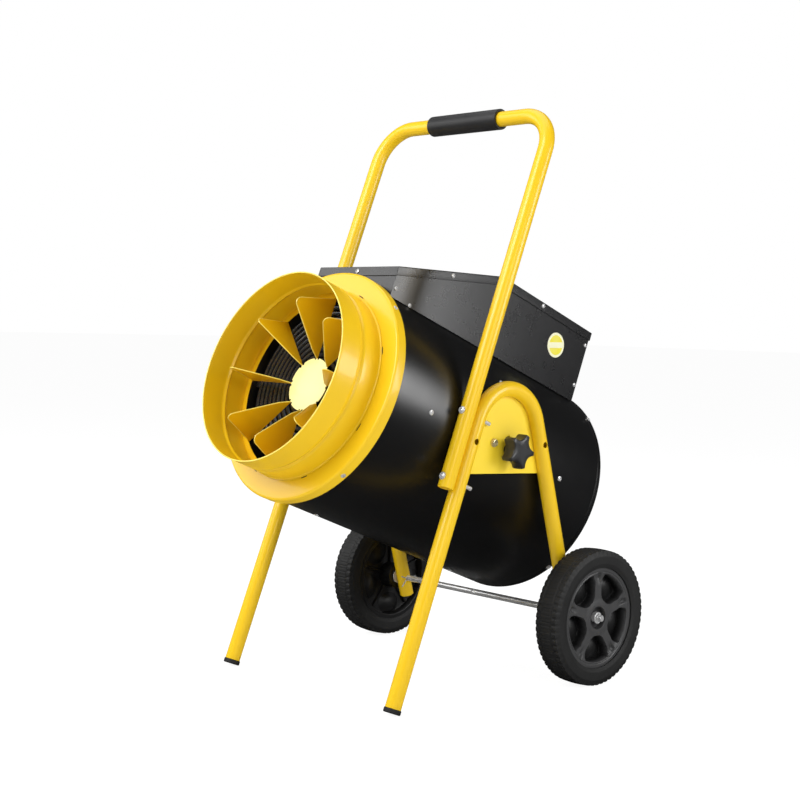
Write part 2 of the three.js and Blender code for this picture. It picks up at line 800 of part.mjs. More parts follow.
function drumShell() {
  const shell = turned(drumProfile([
    [drumInnerR, DRUM_BACK], [drumR, DRUM_BACK], [drumR, drumFront], [drumInnerR, drumFront],
    [drumInnerR, DRUM_BACK],
  ]));
  return cut(shell, ...legHoles, ...sideHoles(PIVOT_BOLT_D + 2 * HOLE_PLAY, STUD_D + 2 * HOLE_PLAY));
}

place('drum_shell', drumShell(), blackPaint, heater);

// Rear ring: a spigot inside the drum, a rounded edge, and a face with a turned-in inlet lip
function rearCover() {
  const spigotR = drumInnerR - GAP;
  const inletR = INLET_D / 2;
  const seam = DRUM_BACK - GAP;
  return turned(drumProfile([
    [spigotR - SHEET, DRUM_BACK + COVER_SPIGOT], [spigotR, DRUM_BACK + COVER_SPIGOT], [spigotR, seam],
    [drumR, seam], [drumR, COVER_BACK + COVER_CORNER], [drumR - COVER_CORNER, COVER_BACK],
    [inletR, COVER_BACK], [inletR - SHEET, COVER_BACK + SHEET], [inletR - SHEET, COVER_BACK + INLET_LIP],
    [inletR, COVER_BACK + INLET_LIP], [inletR, COVER_BACK + SHEET],
    [drumR - COVER_CORNER - SHEET, COVER_BACK + SHEET], [spigotR - SHEET, COVER_BACK + COVER_CORNER + SHEET],
    [spigotR - SHEET, DRUM_BACK + COVER_SPIGOT],
  ]));
}

place('rear_cover', rearCover(), blackPaint, heater);

function ringSector(inner, outer, from, to) {
  const points = [];
  for (let k = 0; k <= 3; k += 1) points.push([outer, from + ((to - from) * k) / 3]);
  for (let k = 3; k >= 0; k -= 1) points.push([inner, from + ((to - from) * k) / 3]);
  return new THREE.Path(points.map(([radius, angle]) =>
    new THREE.Vector2(radius * Math.cos(angle), radius * Math.sin(angle))));
}

// Rings and spokes in one flat grille, inside the inlet lip
function inletGuard() {
  const outerR = INLET_D / 2 - SHEET - GAP;
  const firstR = GUARD_HUB_D / 2;
  const pitch = (outerR - firstR) / GUARD_RINGS;
  const shape = new THREE.Shape(circleShape(outerR, ROUND));
  for (let ring = 0; ring < GUARD_RINGS; ring += 1) {
    const inner = firstR + ring * pitch;
    const outer = inner + pitch - GUARD_WIRE;
    for (let sector = 0; sector < GUARD_SECTORS; sector += 1) {
      const start = (2 * Math.PI * sector) / GUARD_SECTORS;
      const margin = GUARD_WIRE / (inner + outer);
      shape.holes.push(ringSector(inner, outer, start + margin, start + (2 * Math.PI) / GUARD_SECTORS - margin));
    }
  }
  const geometry = new THREE.ExtrudeGeometry(shape, { depth: GUARD_T, bevelEnabled: false });
  geometry.rotateX(-Math.PI / 2);
  geometry.translate(0, -(COVER_BACK + SHEET) - GUARD_T, 0);
  return solid(geometry);
}

place('inlet_guard', inletGuard(), blackPaint, heater);

// ---------------------------------------------------------------- flange, collar, guide vanes

function frontFlange() {
  const edgeR = drumR + FLANGE_OVERHANG;
  const holeR = COLLAR_D / 2 - SHEET;
  return turned(drumProfile(sheetProfile([
    [holeR, FLANGE_FACE], [edgeR - FLANGE_CORNER, FLANGE_FACE], [edgeR, FLANGE_FACE - FLANGE_CORNER], [edgeR, FLANGE_FACE - FLANGE_SKIRT],
  ], -SHEET)));
}

place('front_flange', frontFlange(), yellowPaint, heater);

function outletCollar() {
  const rootR = COLLAR_D / 2 - SHEET;
  const mouthR = COLLAR_MOUTH_D / 2 - SHEET;
  const foot = FLANGE_FACE + GAP;
  const bead = FLANGE_FACE + COLLAR_BEAD_AT;
  const mouth = FLANGE_FACE + COLLAR_LENGTH;
  const taper = (distance) => rootR + ((mouthR - rootR) * (distance - foot)) / (mouth - foot);
  return turned(drumProfile(sheetProfile([
    [rootR + COLLAR_FOOT, foot], [rootR, foot], [taper(bead - 3), bead - 3],
    [taper(bead) - COLLAR_BEAD, bead], [taper(bead + 3), bead + 3], [mouthR, mouth],
  ], -SHEET)));
}

place('outlet_collar', outletCollar(), yellowPaint, heater);

// One vane stands along the axis on a radial line, deepest at its rounded outer corner
function vane(index) {
  const hubR = VANE_HUB_D / 2;
  const windowR = WINDOW_D / 2;
  const corner = [];
  for (let k = 0; k <= 4; k += 1) {
    const angle = rad(20 + (90 * k) / 4);
    corner.push([
      VANE_TIP_R - VANE_CORNER + VANE_CORNER * Math.cos(angle),
      VANE_DEPTH - VANE_CORNER + VANE_CORNER * Math.sin(angle),
    ]);
  }
  const outline = [[hubR - 3, 0], [windowR + 2, 0], [windowR - 3, 8], ...corner,
    [VANE_ROOT_R, VANE_ROOT_DEPTH], [hubR - 3, 4]];
  const shape = new THREE.Shape(outline.map(([radius, depth]) => new THREE.Vector2(radius, depth)));
  const geometry = new THREE.ExtrudeGeometry(shape, { depth: SHEET, bevelEnabled: false });
  geometry.translate(0, 0, -SHEET / 2);
  const turn = new THREE.Matrix4().makeBasis(
    new THREE.Vector3(1, 0, 0), new THREE.Vector3(0, -1, 0), new THREE.Vector3(0, 0, -1));
  geometry.applyMatrix4(turn);
  geometry.translate(0, -vaneBack, 0);
  geometry.rotateY((2 * Math.PI * index) / VANE_COUNT);
  return solid(geometry);
}

function guideVanes() {
  const ring = turned(drumProfile([
    [WINDOW_D / 2, vaneBack], [vaneRingR, vaneBack], [vaneRingR, vaneFront],
    [WINDOW_D / 2, vaneFront], [WINDOW_D / 2, vaneBack],
  ]));
  const hub = drumPlug(VANE_HUB_D / 2, vaneBack, vaneFront, ROUND / 2);
  const vanes = Array.from({ length: VANE_COUNT }, (_, index) => vane(index));
  return join(ring, hub, ...vanes);
}

place('guide_vanes', guideVanes(), yellowPaint, heater);

// ---------------------------------------------------------------- heating elements

// The spiral's radius falls by one pitch a turn; angles run on from element to element
function spiralRadius(angle, startAngle) {
  return COIL_OUTER_R - (COIL_PITCH * (angle - startAngle)) / (2 * Math.PI);
}

function angleAtX(x, nearAngle, startAngle) {
  let angle = nearAngle;
  for (let k = 0; k < 12; k += 1) {
    const turns = Math.round((nearAngle - Math.PI / 2) / (2 * Math.PI));
    angle = 2 * Math.PI * turns + Math.acos(x / spiralRadius(angle, startAngle));
  }
  return angle;
}

function elementLine(index, startAngle) {
  const [startX, endX] = LEG_XS[index];
  const turnsBefore = 3 * index;
  const first = angleAtX(startX, Math.PI / 2 + 2 * Math.PI * turnsBefore, startAngle);
  const last = angleAtX(endX, Math.PI / 2 + 2 * Math.PI * (turnsBefore + 3), startAngle);
  const steps = Math.round(((last - first) * COIL_STEPS) / (2 * Math.PI));
  const [plane, back] = [-COIL_PLANE, -(COIL_PLANE - LEG_BACK)];
  const spiral = [];
  for (let k = 0; k <= steps; k += 1) {
    const angle = first + ((last - first) * k) / steps;
    const radius = spiralRadius(angle, startAngle);
    spiral.push(new THREE.Vector3(radius * Math.cos(angle), plane, radius * Math.sin(angle)));
  }
  const top = drumR + LEG_TOP;
  const legTo = (end) => [
    new THREE.Vector3(end.x, back, top), new THREE.Vector3(end.x, back, end.z),
  ];
  return new BentLine([...legTo(spiral[0]), ...spiral, ...legTo(spiral.at(-1)).reverse()], LEG_BEND);
}

// Least distance between turns: points more than half a turn apart along the tube
function leastTurnGap(line) {
  const points = line.stations.map((station) => station.point);
  let least = Infinity;
  for (let i = 0; i < points.length; i += 1) {
    for (let j = i + COIL_STEPS / 2; j < points.length; j += 1) {
      const next = points[Math.min(j + 1, points.length - 1)];
      const chord = new THREE.Line3(points[j], next);
      const nearest = chord.closestPointToPoint(points[i], true, new THREE.Vector3());
      least = Math.min(least, nearest.distanceTo(points[i]) - COIL_D);
    }
  }
  return least;
}

const coilStart = Math.acos(LEG_XS[0][0] / COIL_OUTER_R);
['outer', 'middle', 'inner'].forEach((ring, index) => {
  const line = elementLine(index, coilStart);
  console.log(`heating_element_${ring}: least gap between turns ${leastTurnGap(line).toFixed(2)} mm`);
  place(`heating_element_${ring}`, bentBar(line, COIL_D, 6), elementSteel, heater);
});

// A cross of flat bars behind the coils, with tabs along the heat shield
function elementSupport() {
  const front = COIL_PLANE - COIL_D / 2 - GAP;
  const back = front - SUPPORT_T;
  const reach = linerInner - GAP;
  const half = SUPPORT_ARM / 2;
  const hub = drumPlug(SUPPORT_HUB_D / 2, back, front, ROUND / 2);
  const inside = drumPlug(reach, back - SUPPORT_TAB, front + 1);
  const acrossX = box([-reach - 5, reach + 5], [-front, -back], [-half, half]);
  const acrossZ = box([-half, half], [-front, -back], [-reach - 5, reach + 5]);
  const tabs = [0, 1, 2, 3].map((quarter) => {
    const tab = new THREE.BoxGeometry(SUPPORT_T + 5, SUPPORT_TAB, SUPPORT_ARM);
    tab.translate(reach - SUPPORT_T + 2.5 + SUPPORT_T / 2, -(front - SUPPORT_TAB / 2), 0);
    tab.rotateY((Math.PI / 2) * quarter);
    return solid(tab);
  });
  return join(hub, acrossX, acrossZ, ...tabs).intersect(inside);
}

place('element_support', elementSupport(), galvanised, heater);

// ---------------------------------------------------------------- heat shield

function heatLiner() {
  const [inner, outer] = [linerInner, linerOuter];
  const tube = turned(drumProfile([
    [inner, LINER_BACK], [outer, LINER_BACK], [outer, LINER_FRONT], [inner, LINER_FRONT], [inner, LINER_BACK],
  ]));
  const reach = drumInnerR - GAP;
  const y = -STANDOFF_AT;
  const standoffs = join(
    rodX(-reach, reach, y, 0, STANDOFF_D),
    rod(new THREE.Vector3(0, y, -reach), new THREE.Vector3(0, y, reach), STANDOFF_D));
  const hollow = drumPlug(inner + SHEET / 2, LINER_BACK - 1, LINER_FRONT + 1);
  const rounded = drumPlug(reach, LINER_BACK - 1, LINER_FRONT + 1);
  return cut(join(tube, cut(standoffs, hollow).intersect(rounded)), ...legHoles);
}

place('heat_liner', heatLiner(), galvanised, heater);

function thermalCutout() {
  const direction = new THREE.Vector3(Math.cos(rad(CUTOUT_ANGLE)), 0, Math.sin(rad(CUTOUT_ANGLE)));
  const start = direction.clone().multiplyScalar(linerInner).setY(-CUTOUT_AT);
  const end = direction.clone().multiplyScalar(linerOuter + CUTOUT_H).setY(-CUTOUT_AT);
  const liner = drumPlug(linerOuter + GAP, LINER_BACK - 1, LINER_FRONT);
  return cut(rod(start, end, CUTOUT_D), liner);
}

place('thermal_cutout', thermalCutout(), blackPlastic, heater);

// ---------------------------------------------------------------- fan and motor

function fanMotor() {
  const radius = MOTOR_D / 2;
  const body = turned(drumProfile([
    [0, MOTOR_BACK], [radius - 8, MOTOR_BACK], [radius, MOTOR_BACK + 8], [radius, MOTOR_FRONT - 6],
    [radius - 6, MOTOR_FRONT], [0, MOTOR_FRONT],
  ]), ROUND / 2);
  return cut(body, drumPlug(SHAFT_D / 2 + HOLE_PLAY, MOTOR_FRONT - SHAFT_IN - GAP, MOTOR_FRONT + 1, SMALL_ROUND));
}

place('fan_motor', fanMotor(), greyCasting, heater);

function motorBracket() {
  const [back, front] = [BRACKET_AT - BRACKET_T / 2, BRACKET_AT + BRACKET_T / 2];
  const reach = drumInnerR - GAP;
  const half = BRACKET_ARM / 2;
  const tabMiddle = front - BRACKET_TAB / 2;
  const tabs = [0, 1, 2, 3].map((quarter) => {
    const tab = new THREE.BoxGeometry(BRACKET_T + 6, BRACKET_TAB, BRACKET_ARM);
    tab.translate(reach - BRACKET_T / 2 + 3, -tabMiddle, 0);
    tab.rotateY((Math.PI / 2) * quarter);
    return solid(tab);
  });
  const whole = join(
    drumPlug(MOTOR_D / 2 + GAP + BRACKET_RING, back, front, ROUND / 2),
    box([-reach, reach], [-front, -back], [-half, half]),
    box([-half, half], [-front, -back], [-reach, reach]),
    ...tabs);
  const inside = drumPlug(reach, back - BRACKET_TAB, front + 1);
  return cut(whole.intersect(inside), drumPlug(MOTOR_D / 2 + GAP, back - 1, front + 1, ROUND / 2));
}

place('motor_bracket', motorBracket(), galvanised, heater);

const shaftEnd = MOTOR_FRONT + SHAFT_OUT;
place('motor_shaft', drumPlug(SHAFT_D / 2, MOTOR_FRONT - SHAFT_IN, shaftEnd, SMALL_ROUND), zincSteel, heater);

const hubBack = MOTOR_FRONT + FAN_GAP;

function fanBlade(index) {
  const [rootR, tipR] = [FAN_HUB_D / 2 - 4, FAN_D / 2];
  const halfRoot = BLADE_CHORD * 0.32;
  const halfTip = BLADE_CHORD / 2;
  const outline = [[rootR, -halfRoot], [tipR - 14, -halfTip], [tipR, -halfTip + 16],
    [tipR, halfTip - 16], [tipR - 14, halfTip], [rootR, halfRoot]];
  const shape = new THREE.Shape(outline.map(([radius, across]) => new THREE.Vector2(radius, across)));
  const geometry = new THREE.ExtrudeGeometry(shape, { depth: BLADE_T, bevelEnabled: false });
  geometry.translate(0, 0, -BLADE_T / 2);
  geometry.rotateX(rad(90 - BLADE_PITCH));
  geometry.translate(0, -(hubBack + FAN_HUB_T / 2), 0);
  geometry.rotateY((2 * Math.PI * index) / BLADE_COUNT);
  return solid(geometry);
}

function fanImpeller() {
  const hub = drumPlug(FAN_HUB_D / 2, hubBack, hubBack + FAN_HUB_T, ROUND / 2);
  const blades = Array.from({ length: BLADE_COUNT }, (_, index) => fanBlade(index));
  const round = drumPlug(FAN_D / 2, hubBack - BLADE_CHORD, hubBack + BLADE_CHORD);
  const bore = drumPlug(SHAFT_D / 2 + HOLE_PLAY, hubBack - 1, hubBack + FAN_HUB_T + 1, SMALL_ROUND);
  return cut(join(hub, ...blades).intersect(round), bore);
}

place('fan_impeller', fanImpeller(), blackPlastic, heater);

// ---------------------------------------------------------------- control box

// Heights of the box's top line, moved in by a distance square to each stretch
const frontRise = Math.atan2(BOX_TOP_H - BOX_FRONT_H, BOX_FRONT - BOX_BEND);

function boxOutline(inset, bottom, backInset = inset) {
  const front = BOX_FRONT - inset;
  const slopeDrop = inset / Math.cos(frontRise);
  const slopeAt = (distance) => BOX_FRONT_H + (BOX_FRONT - distance) * Math.tan(frontRise) - slopeDrop;
  const bend = BOX_BEND - inset * Math.tan(frontRise / 2);
  const top = BOX_TOP_H - inset;
  const back = BOX_BACK + backInset;
  return [[front, bottom], [front, slopeAt(front)], [bend, top], [back, top], [back, bottom]]
    .map(([distance, height]) => new THREE.Vector2(-distance, height));
}

function lidOutline(inset, lip) {
  const outline = boxOutline(inset, 0);
  const [frontTop, bendTop, backTop] = outline.slice(1, 4);
  const lower = (point) => point.clone().add(new THREE.Vector2(0, -lip));
  return [frontTop, bendTop, backTop, lower(backTop), lower(bendTop), lower(frontTop)];
}

const roomOnDrum = drumPlug(drumR + GAP, BOX_BACK - OVERCUT, BOX_FRONT + OVERCUT);

function boxLid() {
  const outside = slabX(lidOutline(0, LID_LIP), -boxHalf, boxHalf);
  const inside = slabX(lidOutline(SHEET, LID_LIP * 2), -boxHalf + SHEET, boxHalf - SHEET);
  return cut(outside, inside);
}

place('box_lid', boxLid(), blackPaint, heater);

// Front and side walls in one sheet; the drum is its floor and the lid its roof
function controlBox() {
  const outside = slabX(boxOutline(boxSkin, 0), -wallHalf, wallHalf);
  const room = boxOutline(boxSkin + SHEET, -OVERCUT, -OVERCUT);
  const lift = new THREE.Vector2(0, BOX_TOP_H);
  const open = room.map((point) => (point.y > 0 ? point.clone().add(lift) : point));
  const inside = slabX(open, -wallHalf + SHEET, wallHalf - SHEET);
  return cut(outside, inside, roomOnDrum);
}

place('control_box', controlBox(), blackPaint, heater);

const panelOuter = BOX_BACK + boxSkin;
const panelInner = panelOuter + PANEL_T;

function alongPanel(x, height, from, to, diameter, sides) {
  return rod(new THREE.Vector3(x, -from, height), new THREE.Vector3(x, -to, height), diameter, sides);
}

function controlPanel() {
  const half = wallHalf - SHEET - GAP;
  const plate = box([-half, half], [-panelInner, -panelOuter], [0, BOX_TOP_H - boxSkin]);
  const through = (x, height, diameter) =>
    alongPanel(x, height, panelOuter - OVERCUT, panelInner + OVERCUT, diameter + 2 * HOLE_PLAY);
  return cut(plate, roomOnDrum,
    through(-KNOB_SPREAD, knobHeight, DIAL_SPINDLE_D), through(KNOB_SPREAD, knobHeight, DIAL_SPINDLE_D),
    through(0, lampHeight, LAMP_D), through(0, glandHeight, GLAND_THREAD_D));
}

place('control_panel', controlPanel(), blackPaint, heater);

// A dial with a pointer rib and a spindle that reaches into its switch
function controlDial(x) {
  const near = panelOuter - GAP;
  const cap = alongPanel(x, knobHeight, near, near - DIAL_H, DIAL_D, ROUND / 2);
  const spindle = alongPanel(x, knobHeight, near - SINK, panelInner + SWITCH_DEPTH / 2, DIAL_SPINDLE_D, TUBE_SIDES);
  const rib = box([x - RIB_WIDTH / 2, x + RIB_WIDTH / 2], [-near + DIAL_H - SINK, -near + DIAL_H + RIB_WIDTH - SINK],
    [knobHeight - DIAL_D * 0.2, knobHeight + DIAL_D * 0.46]);
  return join(cap, spindle, rib);
}

function dialSwitch(x) {
  const half = SWITCH_SIZE / 2;
  const front = panelInner + GAP;
  const block = box([x - half, x + half], [-front - SWITCH_DEPTH, -front],
    [knobHeight - half, knobHeight + half]);
  const bore = alongPanel(x, knobHeight, front - OVERCUT, panelInner + SWITCH_DEPTH / 2 + GAP,
    DIAL_SPINDLE_D + 2 * HOLE_PLAY, TUBE_SIDES);
  return cut(block, bore);
}

for (const [name, x] of [['selector', KNOB_SPREAD], ['thermostat', -KNOB_SPREAD]]) {
  place(`${name}_knob`, controlDial(x), blackPlastic, heater);
  place(`${name}_switch`, dialSwitch(x), creamPlastic, heater);
}

function indicatorLamp() {
  const near = panelOuter - GAP;
  const lens = alongPanel(0, lampHeight, near, near - LAMP_LENS, LAMP_D + LAMP_LENS);
  return join(lens, alongPanel(0, lampHeight, near - SINK, panelInner + LAMP_BODY, LAMP_D));
}

place('indicator_lamp', indicatorLamp(), redLens, heater);

function cableGland() {
  const near = panelOuter - GAP;
  const nutEnd = near - GLAND_NUT;
  const domeEnd = nutEnd - GLAND_DOME;
  const threadEnd = panelInner + GLAND_THREAD;
  const nut = alongPanel(0, glandHeight, near, nutEnd, GLAND_D, 6);
  const dome = alongPanel(0, glandHeight, nutEnd + SINK, domeEnd, GLAND_D * 0.8);
  const thread = alongPanel(0, glandHeight, near - SINK, threadEnd, GLAND_THREAD_D);
  const bore = alongPanel(0, glandHeight, domeEnd - OVERCUT, threadEnd + OVERCUT, GLAND_BORE_D, TUBE_SIDES);
  return cut(join(nut, dome, thread), bore);
}

place('cable_gland', cableGland(), blackPlastic, heater);

function contactor() {
  const { width, length, height, at } = CONTACTOR;
  const foot = drumR + GAP;
  const base = box([-width / 2, width / 2], [-at - length / 2, -at + length / 2], [foot, foot + height * 0.6]);
  const top = box([-width * 0.3, width * 0.3], [-at - length / 2, -at + length / 2],
    [foot + height * 0.6 - 1, foot + height]);
  return join(base, top);
}

place('contactor', contactor(), creamPlastic, heater);

// ---------------------------------------------------------------- pivots and tilt locks

// Pad on the drum's side, hollowed to its roundness, with both bores
function pivotPad(sign) {
  const [x0, x1] = sign > 0 ? [drumR / 2, plateInner - GAP] : [-plateInner + GAP, -drumR / 2];
  const bar = box([x0, x1], [-PAD_MARGIN, LOCK_OFFSET + PAD_MARGIN], [-PAD_MARGIN, PAD_MARGIN]);
  return cut(bar, drumPlug(drumR + GAP, -LOCK_OFFSET * 2, LOCK_OFFSET * 2),
    ...sideHoles(PIVOT_BOLT_D + 2 * HOLE_PLAY, STUD_D + 2 * HOLE_PLAY));
}

const boltInner = drumInnerR - STUD_INSIDE;

function pivotBolt(sign) {
  const seat = plateOuter + GAP;
  const shank = rodX(sign * boltInner, sign * (seat + 1), 0, 0, PIVOT_BOLT_D, TUBE_SIDES);
  const head = rodX(sign * seat, sign * (seat + PIVOT_HEAD_H), 0, 0, PIVOT_HEAD_D);
  return join(shank, head);
}

function starOutline() {
  const points = [];
  const steps = KNOB_LOBES * 6;
  for (let k = 0; k < steps; k += 1) {
    const angle = (2 * Math.PI * k) / steps;
    const radius = KNOB_MEAN_R + KNOB_LOBE * Math.cos(KNOB_LOBES * (angle - rad(TILT)));
    points.push(new THREE.Vector2(LOCK_OFFSET + radius * Math.cos(angle), radius * Math.sin(angle)));
  }
  return points;
}

function starKnob(sign) {
  const seat = plateOuter + GAP;
  const starAt = seat + KNOB_NECK;
  const [x0, x1] = [starAt, starAt + KNOB_T].map((x) => sign * x).sort((a, b) => a - b);
  const star = slabX(starOutline(), x0, x1);
  const neck = rodX(sign * seat, sign * (starAt + 2), LOCK_OFFSET, 0, KNOB_NECK_D);
  const stud = rodX(sign * boltInner, sign * (seat + 2), LOCK_OFFSET, 0, STUD_D, TUBE_SIDES);
  return join(star, neck, stud);
}

for (const [side, sign] of SIDES) {
  place(`pivot_pad_${side}`, pivotPad(sign), blackPaint, heater);
  place(`pivot_bolt_${side}`, pivotBolt(sign), zincSteel, heater);
  place(`star_knob_${side}`, starKnob(sign), blackPlastic, heater);
}

// ---------------------------------------------------------------- origin

// The origin lies on the floor, under the middle of the machine's length and width
machine.updateMatrixWorld(true);
const extent = new THREE.Box3().setFromObject(machine, true);
const middle = extent.getCenter(new THREE.Vector3());
machine.position.set(-middle.x, -middle.y, -extent.min.z);
machine.updateMatrixWorld(true);

export default machine;
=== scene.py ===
"""Looks of a portable fan heater on a two-wheeled trolley.

Lengths are millimetres until a mesh is made. A shape is a profile turned about an axis, a section
carried along a path, or a function of two parameters on a grid. On the heater a point is given as
(x, s, h): to the machine's left, along the drum towards the outlet from the pivot, and up from the
drum's axis.
"""

import json
import math

import bmesh
import bpy
import numpy as np
from mathutils import Matrix, Vector
from mathutils.geometry import delaunay_2d_cdt


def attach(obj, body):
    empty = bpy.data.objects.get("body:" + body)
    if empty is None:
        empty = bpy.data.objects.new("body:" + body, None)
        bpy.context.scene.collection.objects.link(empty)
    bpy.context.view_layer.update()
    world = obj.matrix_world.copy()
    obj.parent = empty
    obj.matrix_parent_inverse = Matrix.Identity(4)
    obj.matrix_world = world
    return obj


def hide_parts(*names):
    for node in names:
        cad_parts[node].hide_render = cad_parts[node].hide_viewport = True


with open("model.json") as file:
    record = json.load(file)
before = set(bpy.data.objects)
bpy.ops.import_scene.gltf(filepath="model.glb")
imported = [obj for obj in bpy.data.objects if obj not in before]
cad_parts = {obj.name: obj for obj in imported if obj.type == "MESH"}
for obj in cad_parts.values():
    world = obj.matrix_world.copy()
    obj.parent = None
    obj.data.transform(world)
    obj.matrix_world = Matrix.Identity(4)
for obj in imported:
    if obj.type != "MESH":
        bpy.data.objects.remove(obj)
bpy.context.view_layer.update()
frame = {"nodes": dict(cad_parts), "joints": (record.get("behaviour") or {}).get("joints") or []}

MM = 0.001
NODES = frame["nodes"]
JOINTS = {joint["name"]: joint for joint in frame["joints"]}

# ---------------------------------------------------------------- sizes shared with the solids

# Names in _R are radii, in _T thicknesses, in _S places along the drum and in _H heights over its axis.
# Leans and tilts are degrees.
GAP = 0.3
SHEET = 1.2

# Drum and its ends, along the drum from the pivot
DRUM_R = 170.5
DRUM_BACK = -258.0
COVER_BACK = DRUM_BACK - 12.0
INLET_R = 138.0
FLANGE_R = DRUM_R + 5.0
FLANGE_FACE = 217.5
FLANGE_SKIRT = 17.0
COLLAR_R = 144.0
COLLAR_MOUTH_R = 143.0
COLLAR_LENGTH = 75.5

# Guide vanes, heating elements and their heat shield
VANES = 8
WINDOW_R = 134.0
VANE_RING_R = 158.0
VANE_HUB_R = 40.5
VANE_PLANE = 216.0
COIL_PLANE = 203.0
COIL_R = 3.7
COIL_OUTER = 126.0
COIL_PITCH = 9.3
COIL_LEG_BACK = 24.0
# Where each element's two legs rise, from the drum's middle
COIL_LEG_XS = {"outer": (52.0, 32.0), "middle": (16.0, -12.0), "inner": (-27.0, -38.0)}
TURNS_EACH = 3
LINER_R = 143.2
LINER_SPAN = (90.0, 211.5)
STANDOFF_S = 127.0
STANDOFF_R = 7.0

# Fan and motor
BLADES = 6
BLADE_ROOT_R = 30.0
BLADE_LENGTH = 129.0
FAN_S = -147.0
FAN_SPAN = (-178.0, -112.0)
FAN_HUB_R = 35.0
SHAFT_R = 4.0
SHAFT_SPAN = (-186.0, -122.0)
MOTOR_R = 45.0

# Trolley tubes, feet and push handle
TUBE_R = 11.5
TUBE_WALL = 1.5
FRAME_X = DRUM_R + 2.0 + TUBE_R
LEG_LEAN = 20.9
REAR_LEAN = 16.2
FOOT_REACH = 365.0  # from the axle to where the front leg's line meets the floor
ARCH_R = 65.5
REAR_TAIL = 31.0  # rear leg below the axle
CAP_R = 12.5
CAP_BASE = 7.0
CAP_PLUG = 10.0
SOLE_TRIM = 1.6  # pressed off the cap's low edge
HANDLE_OFFSET = 2 * TUBE_R + 0.6
HANDLE_LOW = 322.0  # up the leg
HANDLE_TOP = 907.0  # up the leg, to the crossbar's centre
HANDLE_BEND = 60.0
GRIP_R = 16.0
GRIP_SPAN = (-76.0, 74.0)
BOLT_STATIONS = (336.0, 434.0)  # up the leg
SIDE_HOLE_R = 4.5
FRONT_HOLE = 399.0  # up the front leg
REAR_HOLE = 271.0  # up the rear leg from the axle

# Side plates, pivots and tilt locks
PLATE_OUTER = FRAME_X - 4.0
PLATE_T = 3.0
PLATE_DROP = 45.0  # lower edge below the pivot
LOCK_OFFSET = 32.0  # star knob behind the pivot
TILT_UP_MORE = 1.5
TILT_DOWN = 30.0
STUD_R = 4.0
SHANK = 27.0  # bolt or stud inwards from the plate's face
STAR_LOBES = 5
STAR_NECK = 10.0

# Wheels and axle
WHEEL_R = 103.0
WHEEL_INNER = FRAME_X + TUBE_R + 12.0
WHEEL_OUTER = WHEEL_INNER + 43.0
WHEEL_MIDDLE = (WHEEL_INNER + WHEEL_OUTER) / 2
RIM_R = 75.7
RIM_INSET = 2.0
SPOKES = 5
HUB_FACE = WHEEL_OUTER - 5.5
HUB_RECESS = 8.0
AXLE_R = 5.0
AXLE_END = WHEEL_OUTER + 2.5
WASHER_R = 12.0
WASHER_T = 2.0
PIN_INSET = 4.0

# Control box, its lid and its rear panel
BOX_HALF = 88.0
BOX_FRONT = 193.5
BOX_FRONT_H = 194.5
BOX_BEND = -14.0
BOX_TOP_H = 268.5
BOX_BACK = -245.0
LID_LIP = 14.0
WALL_HALF = BOX_HALF - SHEET - GAP
WALL_FOOT_R = DRUM_R + GAP
PANEL_S = BOX_BACK + SHEET + GAP
PANEL_T = 1.5
PANEL_FRONT = PANEL_S - GAP
KNOB_H = BOX_TOP_H - 52
LAMP_H = BOX_TOP_H - 26
GLAND_H = DRUM_R + 19.5
GLAND_BORE = 4.5
DIAL_XS = {"selector": 40.0, "thermostat": -40.0}
LABEL_R = 20.0
LABEL_S = -170.7
LABEL_H = 217.5
FIELD_R = 16.0
BAND_HALF = 4.5

# Places and ways of the frame
AXLE = np.array(JOINTS["wheel_left_spin"]["pos_m"])[1:] / MM
PIVOT = np.array(JOINTS["heater_tilt"]["pos_m"]) / MM
OUTLET = np.array(JOINTS["fan_spin"]["axis"])
ACROSS = np.array((1.0, 0.0, 0.0))
UPWARD = np.cross(OUTLET, ACROSS)
FOOT = np.array((AXLE[0] - FOOT_REACH, 0.0))
LEG_UP = np.array((math.sin(math.radians(LEG_LEAN)), math.cos(math.radians(LEG_LEAN))))
LEG_FRONT = np.array((-LEG_UP[1], LEG_UP[0]))
REAR_UP = np.array((-math.sin(math.radians(REAR_LEAN)), math.cos(math.radians(REAR_LEAN))))
SIDES = (("left", 1), ("right", -1))

# Camera and meshes
EYE = np.array((1634.0, AXLE[0] - 1719.37, AXLE[1] + 432.24))
AZIMUTH, ELEVATION, ROLL = 46.93, 2.92, 1.57
FOCAL_WIDTHS = 1464.65 / 800  # focal length over the picture's width
SENSOR = 36.0
MERGE = 2e-6  # metres
SHARP = 35.0  # degrees
WITHIN = 0.001  # a tube's surface lies this much inside the solid's
FULL_TURN = 2 * math.pi


def side_view(point, x):
    """A point of the (y, z) plane, set at x."""
    return np.array((x, point[0], point[1]))


def on_heater(x, s, h):
    """The pivot, plus x across, s along the outlet's way and h up from the drum's axis."""
    x, s, h = np.broadcast_arrays(x, s, h)
    return PIVOT + x[..., None] * ACROSS + s[..., None] * OUTLET + h[..., None] * UPWARD


def around_drum(radius, s, angle):
    """x is the radius by the angle's cosine, h the radius by its sine."""
    return on_heater(radius * np.cos(angle), s, radius * np.sin(angle))


def around_axle(radius, x, angle):
    """y is the radius by the angle's cosine, z by its sine, from the axle."""
    radius, x, angle = np.broadcast_arrays(radius, x, angle)
    return np.stack((x, AXLE[0] + radius * np.cos(angle), AXLE[1] + radius * np.sin(angle)), -1)


def crossing(point_a, way_a, point_b, way_b):
    """Where two lines of the (y, z) plane meet."""
    steps = np.linalg.solve(np.column_stack((way_a, -np.asarray(way_b))), np.subtract(point_b, point_a))
    return point_a + steps[0] * np.asarray(way_a)


# ---------------------------------------------------------------- surfaces


def unit(vectors):
    """Each vector divided by its own length."""
    return vectors / np.linalg.norm(vectors, axis=-1, keepdims=True)


